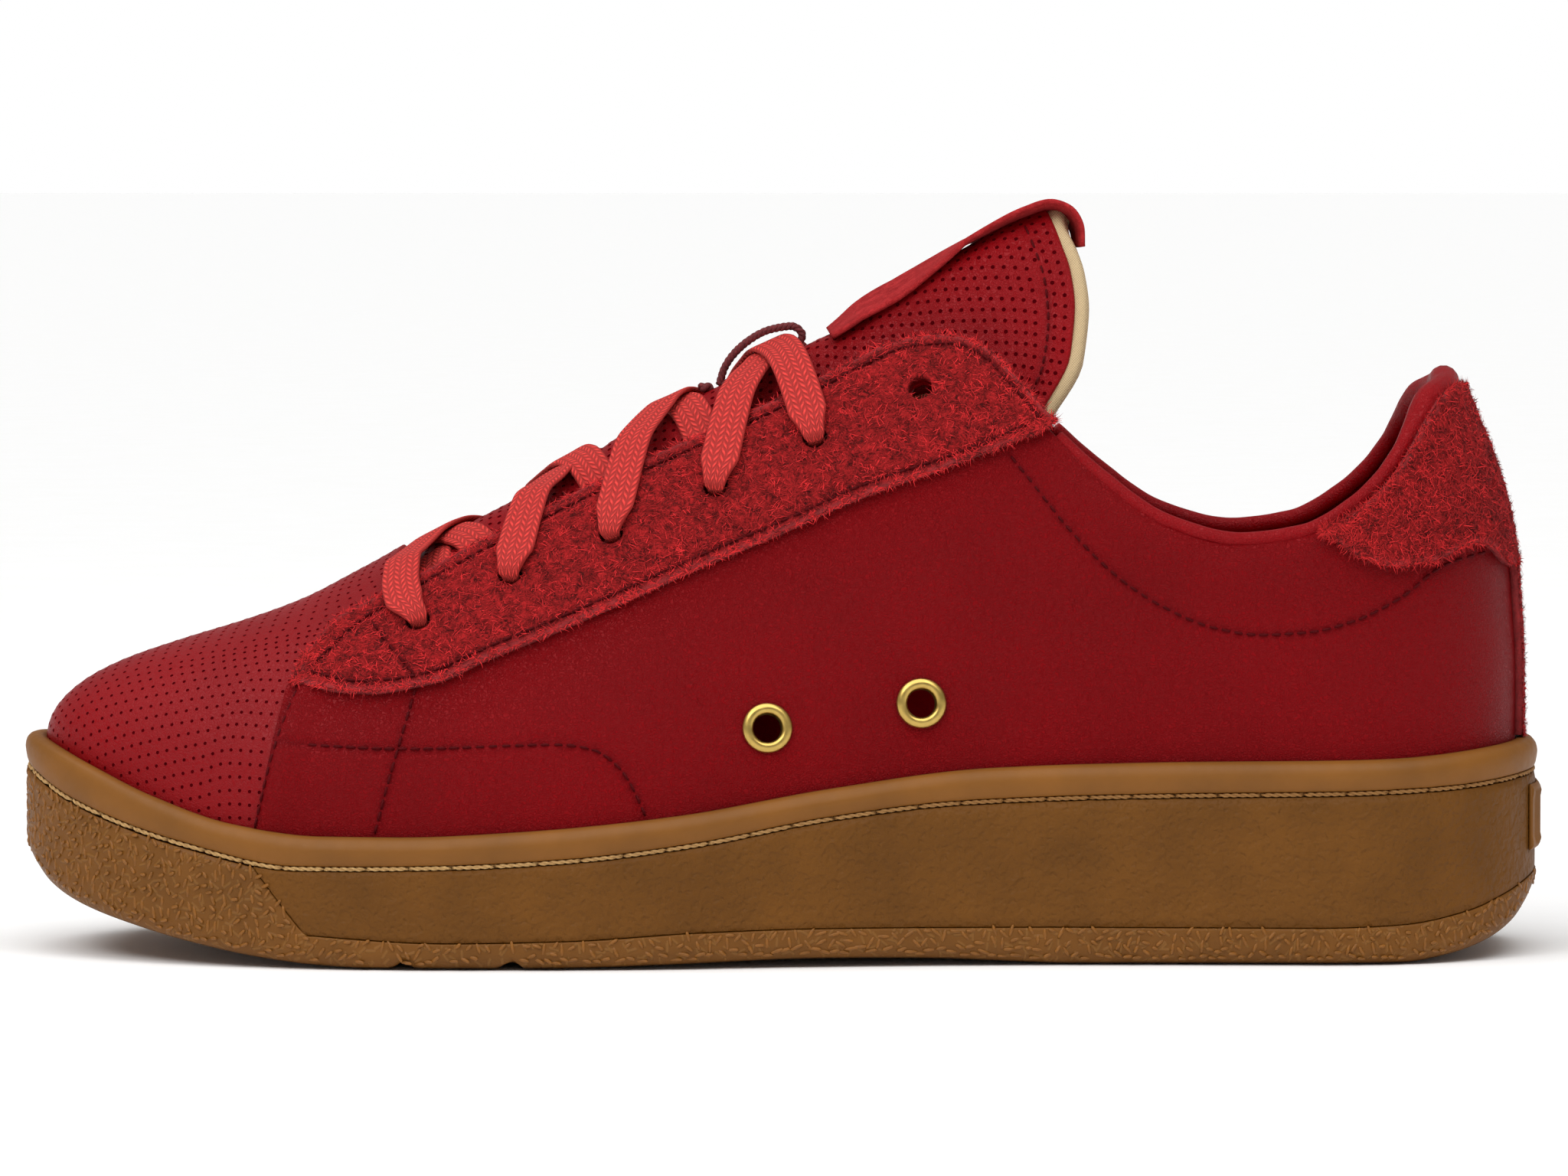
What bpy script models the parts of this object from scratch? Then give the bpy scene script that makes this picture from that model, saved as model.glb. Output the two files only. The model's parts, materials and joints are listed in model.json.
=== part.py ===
"""Low-top leather court shoe for the right foot: cup sole, lasted upper, padded tongue, flat laces.

Sizes are in millimetres and the meshes in metres, +Z up. The toe points to -X and the medial
side faces -Y. The origin is on the ground, under the middle of the shoe.
"""
import math

import bmesh
import bpy
import numpy as np
from mathutils import Matrix, Vector

MM = 0.001
OBJECT_NAME = "court_shoe"

# The sole's outline, seen from above.
TOE_X, HEEL_X = -147.5, 146.8
TOE_ROUND, HEEL_ROUND = 78.0, 46.0
TOE_POWER, HEEL_POWER = 2.1, 2.3
MEDIAL, LATERAL = -1.0, 1.0

# Insets from the sole's outline.
WALL_INSET = 3.4
UPPER_INSET = 5.1
BOARD_INSET = 8.6
LINER_INSET = 9.2

# Heights in the sole.
OUTSOLE_FLOOR = 5.0
GROOVE_HALF = 0.7
BOARD_THICKNESS = 2.0
LINER_THICKNESS = 4.2
PLAY = 0.4

# Layers of the upper, as distances outwards from the inner face of the outer leather.
LEATHER = (0.0, 1.2)
OVERLAY = (1.8, 3.0)
STIFFENER = (-1.15, -0.4)
LINING = (-1.35, -0.6)
DEEP_LINING = (-2.45, -1.6)
TONGUE_FACE = (-4.6, -3.6)
TONGUE_FOAM = (-7.6, -5.0)
TONGUE_LINING = (-8.8, -8.0)
SKIRT = 20.0

# Punched eyelets for the lace, vent eyelets, lace and cords.
EYELET_RADIUS = 2.4
VENT_HOLE, VENT_BARREL, VENT_FLANGE = 2.7, 3.3, 4.8
LACE_WIDTH, LACE_THICKNESS = 7.6, 1.1
LACE_NECK = 2.9
KEEPER_RADIUS = 0.8
PIPING_RADIUS = 1.5
THREAD_RADIUS = 0.45

# How far the lace runs above the leather, and below it behind the eyelets.
OVER, UNDER = 4.2, -2.4

# Plates across the whole sole, the grooves it flexes at as (x, lean), and the badge at its back.
PLATE_INSET = 14.0
FLEX_GROOVES = ((-76.0, 0.10), (-53.0, 0.05))
FLEX_GROOVE_WIDTH, FLEX_GROOVE_REACH, FLEX_GROOVE_DEPTH = 2.4, 130.0, 3.0
BADGE_LOW, BADGE_HIGH = 20.0, 32.7
WRAP_START_X, WRAP_RUN = -99.7, 10.0

# Stations of the quarters: where they start, where the collar starts, and the seam at the back.
QUARTER_FRONT_X, COLLAR_X, SEAM_T = -99.4, 52.6, 0.9972
FRONT_COLUMNS, PANEL_ROWS = 13, np.linspace(0, 1, 8)

# Side-view outlines of the upper's pieces, as (x, z).
QUARTER_FRONT = [(-102.0, 23.0), (-99.0, 38.0), (-94.4, 52.4), (-86.0, 62.5), (-77.0, 70.3)]
THROAT = [(-76.0, 70.4), (-61.6, 77.9), (-45.5, 86.6), (-28.7, 94.4), (-9.0, 103.5), (6.2, 110.8),
          (16.0, 115.8), (25.3, 119.2), (33.4, 119.6)]
EYESTAY_LOWER = [(-92.6, 54.0), (-79.8, 52.4), (-69.6, 53.4), (-54.9, 59.0), (-35.4, 67.0), (-14.0, 76.4),
                 (2.1, 83.1), (15.5, 89.1), (33.4, 95.3), (47.7, 101.0)]
EYESTAY_UPPER = [(-91.0, 59.0), (-83.4, 67.1), (-75.5, 70.9), (-61.6, 78.4), (-36.8, 91.1), (-9.0, 103.8),
                 (6.2, 111.0), (16.0, 116.2), (25.3, 119.6), (33.4, 120.1), (38.6, 118.0), (44.9, 112.3),
                 (52.6, 103.6)]
TOPLINE = [(52.6, 102.6), (59.6, 96.0), (70.3, 87.9), (79.0, 83.7), (87.5, 82.0), (94.7, 82.4),
           (102.5, 84.6), (109.7, 88.9), (117.0, 96.0), (122.0, 104.0), (127.0, 110.8), (130.0, 113.0)]
COLLAR_SEAM = [(44.0, 97.0), (49.0, 90.8), (56.0, 82.2), (65.3, 73.3), (73.0, 68.3), (82.5, 64.3),
               (91.8, 62.8), (101.0, 63.3), (109.7, 65.4), (118.0, 69.3), (128.0, 76.0), (141.0, 79.0)]
HEEL_TAB_LOWER = [(103.0, 83.6), (108.0, 79.4), (117.6, 75.9), (127.6, 77.2), (134.0, 80.2), (139.0, 78.0),
                  (141.5, 74.5)]
TONGUE_END = [(47.0, 98.0), (52.9, 105.6), (57.6, 114.8), (58.7, 123.4), (58.3, 130.0), (56.6, 136.5),
              (54.6, 141.5)]
TONGUE_SIDE = [(-86.0, 56.0), (-61.0, 69.0), (-37.0, 81.0), (-9.0, 93.0), (7.2, 100.0)]
TONGUE_TOP_SIDE = [(9.4, 102.5), (20.0, 106.5), (33.0, 108.0), (42.0, 105.5), (50.6, 101.5)]
TONGUE_START_X, TONGUE_SPLIT = -82.0, (7.2, 9.4)
PULL_STRAP = [(9.6, 119.0), (11.6, 120.9), (15.0, 124.3), (26.7, 132.1), (38.7, 139.3), (47.0, 143.4),
              (52.0, 144.8), (56.0, 143.6), (58.6, 140.0), (59.2, 136.5)]
STRAP_WIDTH, STRAP_THICKNESS = 13.0, 1.3
KEEPER_LOOP = [(-12.6, 109.6), (-11.8, 112.4), (-8.8, 116.6), (-2.4, 120.4), (1.6, 121.0), (3.6, 119.2),
               (2.2, 116.8), (-3.0, 113.8), (-8.0, 111.4), (-11.0, 109.9)]
KNOT_X, KNOT_Z, KNOT_RADIUS = -15.3, 109.0, 1.4
EYELETS = [(-69.0, 64.5), (-51.5, 73.0), (-32.1, 81.1), (-12.3, 90.1), (6.7, 99.5), (27.0, 109.0)]
VENTS = [(-2.1, 45.3), (27.2, 49.8)]


def curve(points):
    """A smooth curve through (x, value) points that never overshoots them, as a function of x."""
    xs, ys = np.array(points, float).T
    step = np.diff(xs)
    slope = np.diff(ys) / step
    tangent = np.concatenate([slope[:1], np.zeros(len(xs) - 2), slope[-1:]])
    for i in range(1, len(xs) - 1):
        if slope[i - 1] * slope[i] > 0:
            before, after = 2 * step[i] + step[i - 1], step[i] + 2 * step[i - 1]
            tangent[i] = (before + after) / (before / slope[i - 1] + after / slope[i])

    def value(x):
        x = np.clip(np.asarray(x, float), xs[0], xs[-1])
        i = np.clip(np.searchsorted(xs, x) - 1, 0, len(step) - 1)
        u = (x - xs[i]) / step[i]
        return (ys[i] * (1 + 2 * u) * (1 - u) ** 2 + ys[i + 1] * u * u * (3 - 2 * u)
                + step[i] * (tangent[i] * u * (1 - u) ** 2 - tangent[i + 1] * u * u * (1 - u)))

    return value


def spread(outline, count):
    """Count points at even distances along an outline of (x, z) points, on a smooth curve through it."""
    points = np.array(outline, float)
    run = np.concatenate([[0], np.cumsum(np.hypot(*np.diff(points, axis=0).T))])
    fine = np.linspace(0, run[-1], 400)
    smooth = np.stack([curve(np.stack([run, points[:, k]], 1))(fine) for k in (0, 1)], 1)
    length = np.concatenate([[0], np.cumsum(np.hypot(*np.diff(smooth, axis=0).T))])
    even = np.linspace(0, length[-1], count)
    return np.stack([np.interp(even, length, smooth[:, k]) for k in (0, 1)], 1)


# Driving curves along the shoe: half widths in plan, heights of the sole's seams, and the form of the upper.
MEDIAL_HALF = curve([(-148, 47), (-120, 50), (-62, 53), (-30, 51.5), (0, 46.5), (30, 42), (60, 39.5), (90, 39),
                     (148, 39)])
LATERAL_HALF = curve([(-148, 46), (-120, 48), (-60, 52), (-32, 53), (0, 51), (30, 47), (60, 42.5), (90, 39.5),
                      (148, 39)])
CENTRE_LINE = curve([(-148, -8), (-110, -5), (-60, -1.5), (-10, 0), (148, 0)])
SOLE_BOTTOM = curve([(-147.5, 19), (-144.5, 16), (-141.3, 13.2), (-135.3, 10.2), (-123.3, 6.6), (-111.3, 3.8),
                     (-99.3, 1.7), (-87, 0.4), (-78, 0), (-44, 0), (-21, 0.6), (8, 1.4), (28, 1.2), (46, 0.4),
                     (56, 0), (119, 0), (128, 1.2), (134.7, 3), (140.7, 6), (147, 12.5)])
OUTSOLE_RIM = curve([(-89.7, 6.3), (-63, 5.0), (-40, 5.4), (-15, 6.8), (10, 7.3), (103, 7.0), (119, 7.5),
                     (132, 9.7), (140, 12.6), (147, 16.0)])
STITCH_LINE = curve([(-147.5, 36.2), (-137, 30.4), (-113, 22.8), (-91.7, 19.0), (-63, 19.4), (-40, 20.6),
                     (-15, 23.6), (9.9, 28.2), (35.7, 31.1), (70, 32.2), (108, 32.7), (129.4, 33.5),
                     (147, 35.3)])
BAND_TOP = curve([(-147.5, 42.6), (-143.6, 41.4), (-133, 37.0), (-120, 31.6), (-103.8, 26.8), (-87, 24.9),
                  (-72, 24.9), (-48, 26), (-18.5, 28.9), (9.9, 33.7), (40, 37.4), (71.7, 38.4), (115.7, 39.0),
                  (147, 41.6)])
FOOTBED = curve([(-142, 27), (-130, 21.5), (-110, 15.5), (-90, 12.5), (-60, 11.5), (-30, 13), (0, 16.5),
                 (30, 20.5), (60, 23), (90, 24), (147, 24)])
SECTION_WIDE = curve([(-143, 2.3), (-100, 2.2), (-75, 1.9), (-40, 1.7), (143, 1.7)])
SECTION_TALL = curve([(-143, 2.2), (-100, 2.1), (-75, 1.85), (-40, 1.55), (143, 1.5)])
HEEL_LEAN = curve([(40, 0), (56, 0.1), (66, 0.6), (75, 1.2), (84, 2.6), (90, 4.2), (96.6, 6.4), (102.6, 8.9),
                   (108.6, 11.2), (116, 14.5), (126, 19)])
LEAN_START, LEAN_FULL = 70.0, 142.0


def along(x, inset=UPPER_INSET):
    """Where a station at x lies on the outline: 0 at the toe, 1 at the heel."""
    toe, heel = TOE_X + inset, HEEL_X - inset
    share = np.clip((np.asarray(x, float) - toe) / (heel - toe), 0, 1)
    return np.arccos(1 - 2 * share) / math.pi


RIDGE_POINTS = [(TOE_X + UPPER_INSET, BAND_TOP(TOE_X + UPPER_INSET)), (-140.4, 46.7), (-134.7, 51.7),
                (-128.9, 54.6), (-116.9, 58.9), (-104.9, 62.7), (-92.8, 67.0), (-80.7, 73.4), (-74.0, 77.2),
                (-60, 85.0), (-45, 93.4), (-27, 104.3), (-21, 107.4), (10, 121.7), (26.7, 130.6), (38.7, 137.6),
                (53.6, 146.6), (75, 162), (105, 182), (HEEL_X - UPPER_INSET, 200)]
RIDGE = curve([(float(along(x)), float(z)) for x, z in RIDGE_POINTS])


def plan(t, side, inset=0.0):
    """Point (x, y) on the sole's outline at station t, drawn in towards the middle by an inset."""
    toe, heel = TOE_X + inset, HEEL_X - inset
    x = toe + (heel - toe) * (1 - np.cos(math.pi * np.asarray(t, float))) / 2
    side = np.asarray(side, float)
    full = np.where(side < 0, MEDIAL_HALF(x), LATERAL_HALF(x)) - inset
    centre = CENTRE_LINE(x)
    into_toe = np.clip(1 - (x - toe) / (TOE_ROUND - inset), 0, 1)
    into_heel = np.clip(1 - (heel - x) / (HEEL_ROUND - inset), 0, 1)
    narrow = (1 - into_toe ** TOE_POWER) ** (1 / TOE_POWER) * (1 - into_heel ** HEEL_POWER) ** (1 / HEEL_POWER)
    return x, centre + side * (full - side * centre) * narrow


def form(t, side, q):
    """The last's surface: q is 0 at the top of the foxing band, 1 on the ridge, and below 0 in the cup."""
    x, rim = plan(t, side, UPPER_INSET)
    centre, low = CENTRE_LINE(x), BAND_TOP(x)
    angle = np.clip(q, 0, 1) * math.pi / 2
    across = np.abs(np.cos(angle)) ** (2 / SECTION_WIDE(x))
    up = np.sin(angle) ** (2 / SECTION_TALL(x))
    z = low + np.maximum(RIDGE(t) - low, 0) * up + np.minimum(q, 0) * SKIRT
    share = np.clip((x - LEAN_START) / (LEAN_FULL - LEAN_START), 0, 1)
    lean = HEEL_LEAN(z) * share * share * (3 - 2 * share)
    return np.stack([x - lean, centre + (rim - centre) * across, z + 0 * x], -1)


def surface(t, side, q, offset=0.0):
    """Points on the last's surface, moved outwards by an offset."""
    t, side, q, offset = np.broadcast_arrays(*(np.asarray(v, float) for v in (t, side, q, offset)))
    step = 1e-3
    t_in, q_in = np.clip(t, 2 * step, 1 - 2 * step), np.minimum(q, 1 - 2 * step)
    along_t = form(t_in + step, side, q_in) - form(t_in - step, side, q_in)
    along_q = form(t_in, side, q_in + step) - form(t_in, side, q_in - step)
    normal = np.cross(along_t, along_q) * -side[..., None]
    middle = (q > 0.999) | (t < step) | (t > 1 - step)
    normal[..., 1] = np.where(middle, 0, normal[..., 1])
    normal /= np.linalg.norm(normal, axis=-1, keepdims=True)
    return form(t, side, q) + normal * offset[..., None]


def height(t, z):
    """The q at which a station of the surface stands at height z."""
    x = plan(t, MEDIAL, UPPER_INSET)[0]
    low = BAND_TOP(x)
    share = np.clip((z - low) / np.maximum(RIDGE(t) - low, 0.01), 0, 1)
    return np.where(z < low, (z - low) / SKIRT, np.arcsin(share ** (SECTION_TALL(x) / 2)) * 2 / math.pi)


def locate(outline, side, offset=0.0):
    """Stations (t, q) of the points that lie at (x, z) in side view, on the surface moved by the offset."""
    target = np.array(outline, float)
    guess = target.copy()
    for _ in range(12):
        t = along(guess[:, 0])
        q = height(t, guess[:, 1])
        found = surface(t, side, q, offset)
        guess = guess + (target - found[:, [0, 2]]) * 0.8
    return t, q


def stations():
    """Stations of one side, from toe to heel, closer together round the two ends."""
    waist = np.linspace(0.228, 0.79, 16)[1:-1]
    return np.concatenate([np.linspace(0, 0.228, 7), waist, np.linspace(0.79, 1, 8)])


STATIONS = stations()
LOOP_T = np.concatenate([STATIONS, STATIONS[-2:0:-1]])
LOOP_SIDE = np.concatenate([np.full(len(STATIONS), MEDIAL), np.full(len(STATIONS) - 2, LATERAL)])

parts = bpy.data.collections.new(OBJECT_NAME)
tools = bpy.data.collections.new(OBJECT_NAME + "_cutters")


def material(name, colour, roughness, metallic=0.0):
    made = bpy.data.materials.new(name)
    made.use_nodes = True
    shader = made.node_tree.nodes["Principled BSDF"]
    shader.inputs["Base Color"].default_value = (*colour, 1)
    shader.inputs["Roughness"].default_value = roughness
    shader.inputs["Metallic"].default_value = metallic
    return made


def add_object(name, mesh, finish, collection=parts):
    made = bpy.data.objects.new(name, mesh)
    collection.objects.link(made)
    if finish:
        mesh.materials.append(finish)
    return made


def finish_mesh(name, bm, finish, collection=parts):
    """Closes a bmesh in millimetres into an object in metres, with its faces pointing out."""
    bmesh.ops.remove_doubles(bm, verts=bm.verts, dist=0.002)
    bmesh.ops.dissolve_degenerate(bm, edges=bm.edges, dist=0.001)
    bmesh.ops.scale(bm, vec=(MM, MM, MM), verts=bm.verts)
    bmesh.ops.recalc_face_normals(bm, faces=bm.faces)
    mesh = bpy.data.meshes.new(name)
    bm.to_mesh(mesh)
    bm.free()
    mesh.shade_smooth()
    return add_object(name, mesh, finish, collection)


def grid(bm, points, wrap_rows=False, wrap_columns=False):
    """Adds a grid of points and the quads between them, and returns the rows of vertices."""
    rows = [[bm.verts.new(point) for point in row] for row in points]
    for i in range(len(rows) - (not wrap_rows)):
        here, there = rows[i], rows[(i + 1) % len(rows)]
        for j in range(len(here) - (not wrap_columns)):
            k = (j + 1) % len(here)
            bm.faces.new((here[j], here[k], there[k], there[j]))
    return rows


def ladder(bm, ring):
    """Closes a ring round the shoe with rungs from its medial to its lateral side."""
    last = len(STATIONS) - 1
    for i in range(last):
        a, b, c, d = ring[i], ring[i + 1], ring[-i - 1], ring[-i]
        corners = list(dict.fromkeys((a, b, c, d)))
        bm.faces.new(corners)


def outline_rings(profile, path_t=LOOP_T, path_side=LOOP_SIDE):
    """One ring of points for each (inset, height) of a profile, where a height is a number or a curve of x."""
    rings = []
    for inset, level in profile:
        x, y = plan(path_t, path_side, inset)
        z = level(x) if callable(level) else np.full(len(x), level)
        rings.append(np.stack([x, y, z], -1))
    return rings


def slab(name, profile, finish):
    """A plate across the whole shoe: rings from the middle of its underside, round its edge, to its top."""
    bm = bmesh.new()
    rows = grid(bm, outline_rings(profile), wrap_columns=True)
    ladder(bm, rows[0])
    ladder(bm, rows[-1])
    return finish_mesh(name, bm, finish)


def band(name, profile, finish):
    """A hoop right round the shoe."""
    bm = bmesh.new()
    grid(bm, outline_rings(profile), wrap_rows=True, wrap_columns=True)
    return finish_mesh(name, bm, finish)


def strip(name, profile, path_t, path_side, finish):
    """A length of wall along part of the outline, closed at both ends."""
    bm = bmesh.new()
    rows = grid(bm, outline_rings(profile, path_t, path_side), wrap_rows=True)
    bm.faces.new([row[0] for row in rows])
    bm.faces.new([row[-1] for row in rows])
    return finish_mesh(name, bm, finish)


def facing_out(face):
    """How far a face turns away from the inside of the shoe, times its area."""
    middle = face.calc_center_median()
    inside = Vector((min(max(middle.x, -90), 90), 0, 20))
    return face.normal.dot(middle - inside) * face.calc_area()


def sheet(name, t, side, q, layer, finish):
    """A panel of one thickness: an open surface at the layer's inner face, thickened outwards."""
    inner, outer = layer
    bm = bmesh.new()
    grid(bm, surface(t, side, q, inner))
    bmesh.ops.remove_doubles(bm, verts=bm.verts, dist=0.002)
    bmesh.ops.dissolve_degenerate(bm, edges=bm.edges, dist=0.001)
    bmesh.ops.recalc_face_normals(bm, faces=bm.faces)
    if sum(facing_out(face) for face in bm.faces) < 0:
        bmesh.ops.reverse_faces(bm, faces=bm.faces)
    bmesh.ops.scale(bm, vec=(MM, MM, MM), verts=bm.verts)
    mesh = bpy.data.meshes.new(name)
    bm.to_mesh(mesh)
    bm.free()
    mesh.shade_smooth()
    made = add_object(name, mesh, finish)
    solid = made.modifiers.new("thickness", "SOLIDIFY")
    solid.thickness = (outer - inner) * MM
    solid.offset = 1
    return made


def border(rows):
    """The vertices round the edge of a grid, in order."""
    return rows[0] + [row[-1] for row in rows[1:]] + rows[-1][-2::-1] + [row[0] for row in rows[-2:0:-1]]


def cushion(name, t, side, q, inner, outer, finish):
    """A panel whose inner and outer faces lie at offsets that change over it."""
    bm = bmesh.new()
    faces = np.stack([surface(t, side, q, inner), surface(t, side, q, outer)])
    under = grid(bm, faces[0])
    over = grid(bm, faces[1])
    low, high = border(under), border(over)
    for i in range(len(low)):
        k = (i + 1) % len(low)
        bm.faces.new((low[i], low[k], high[k], high[i]))
    return finish_mesh(name, bm, finish)


def tube(name, points, radius, finish, closed=False, sides=2):
    """A round cord along points, with flat ends."""
    path = bpy.data.curves.new(name, "CURVE")
    path.dimensions = "3D"
    path.bevel_depth = radius * MM
    path.bevel_resolution = sides
    path.use_fill_caps = not closed
    spline = path.splines.new("POLY")
    spline.points.add(len(points) - 1)
    for point, place in zip(spline.points, points):
        point.co = (*(np.array(place) * MM), 1)
    spline.use_cyclic_u = closed
    made = bpy.data.objects.new(name, path)
    parts.objects.link(made)
    path.materials.append(finish)
    return made


def smooth_path(points, count):
    """Count points on a smooth curve through points in space."""
    points = np.array(points, float)
    run = np.concatenate([[0], np.cumsum(np.linalg.norm(np.diff(points, axis=0), axis=1))])
    even = np.linspace(0, run[-1], count)
    return np.stack([curve(np.stack([run, points[:, k]], 1))(even) for k in range(points.shape[1])], 1)


def ribbon(name, centres, broad, widths, thicknesses, finish):
    """A flat strap along points: broad holds the direction of its width at each one."""
    bm = bmesh.new()
    heading = np.gradient(centres, axis=0)
    heading /= np.linalg.norm(heading, axis=1, keepdims=True)
    thin = np.cross(heading, broad)
    thin /= np.linalg.norm(thin, axis=1, keepdims=True)
    half_w, half_t = np.array(widths)[:, None] / 2, np.array(thicknesses)[:, None] / 2
    corners = [(1, 1), (-1, 1), (-1, -1), (1, -1)]
    rings = np.stack([centres + broad * half_w * a + thin * half_t * b for a, b in corners], 1)
    rows = grid(bm, rings, wrap_columns=True)
    bm.faces.new(rows[0])
    bm.faces.new(rows[-1])
    return finish_mesh(name, bm, finish)


def cutter(name, mesh):
    made = add_object(name, mesh, None, tools)
    made.hide_render = True
    made.display_type = "WIRE"
    return made


def pin_cutter(name, places, radius, depth=12.0, sides=8):
    """Round pins through the upper, one at each (centre, normal), in one cutter."""
    bm = bmesh.new()
    for centre, normal in places:
        axis = np.array(normal)
        across = np.cross(axis, (1, 0, 0))
        across /= np.linalg.norm(across)
        other = np.cross(axis, across)
        ring = [across * math.cos(a) + other * math.sin(a) for a in np.arange(sides) * 2 * math.pi / sides]
        ends = [[centre + spoke * radius + axis * depth / 2 * end for spoke in ring] for end in (-1, 1)]
        rows = grid(bm, ends, wrap_columns=True)
        bm.faces.new(rows[0])
        bm.faces.new(rows[1])
    bmesh.ops.scale(bm, vec=(MM, MM, MM), verts=bm.verts)
    bmesh.ops.recalc_face_normals(bm, faces=bm.faces)
    mesh = bpy.data.meshes.new(name)
    bm.to_mesh(mesh)
    bm.free()
    return cutter(name, mesh)


def cut(piece, tool):
    made = piece.modifiers.new(tool.name, "BOOLEAN")
    made.operation = "DIFFERENCE"
    made.object = tool


def ruled(low, high, rows):
    """Stations between two lines of (t, q) points."""
    share = np.linspace(0, 1, rows)[:, None] if isinstance(rows, int) else np.array(rows)[:, None]
    return [low[k][None, :] * (1 - share) + high[k][None, :] * share for k in (0, 1)]


def both_sides(medial, lateral):
    """Joins the columns of a medial and a lateral half that meet in the middle."""
    (t_m, q_m), (t_l, q_l) = medial, lateral
    t = np.concatenate([t_m, t_l[:, -2::-1]], 1)
    q = np.concatenate([q_m, q_l[:, -2::-1]], 1)
    side = np.concatenate([np.full(t_m.shape, MEDIAL), np.full((t_l.shape[0], t_l.shape[1] - 1), LATERAL)], 1)
    return t, side, q


for old in list(bpy.data.objects):
    bpy.data.objects.remove(old, do_unlink=True)
bpy.context.scene.collection.children.link(parts)
bpy.context.scene.collection.children.link(tools)

LEATHER_RED = material("crimson leather", (0.36, 0.010, 0.018), 0.42)
SUEDE_RED = material("hairy suede", (0.48, 0.030, 0.030), 0.95)
LINING_RED = material("lining leather", (0.34, 0.012, 0.018), 0.6)
LACE_RED = material("woven lace", (0.62, 0.045, 0.030), 0.85)
CORD_RED = material("keeper cord", (0.09, 0.006, 0.006), 0.9)
GUM = material("gum rubber", (0.22, 0.095, 0.028), 0.6)
GUM_BAND = material("pale gum rubber", (0.30, 0.145, 0.035), 0.5)
THREAD = material("waxed thread", (0.66, 0.43, 0.20), 0.8)
FOAM = material("foam", (0.75, 0.70, 0.60), 0.95)
BOARD = material("insole board", (0.62, 0.52, 0.38), 0.9)
STIFF = material("stiffener", (0.70, 0.66, 0.58), 0.8)
LINER = material("sock liner", (0.40, 0.02, 0.02), 0.9)
TONGUE_CREAM = material("cream lining", (0.66, 0.52, 0.34), 0.85)
BRASS = material("brass", (0.58, 0.36, 0.14), 0.3, 1.0)


def shifted(level, by):
    return lambda x: level(x) + by


def outsole_top(x):
    """The outsole's rim: low along the wall, and up to the seam where it wraps the toe."""
    wrap = np.clip((WRAP_START_X + WRAP_RUN - x) / WRAP_RUN, 0, 1)
    return OUTSOLE_RIM(x) * (1 - wrap) + (STITCH_LINE(x) - GROOVE_HALF) * wrap


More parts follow.
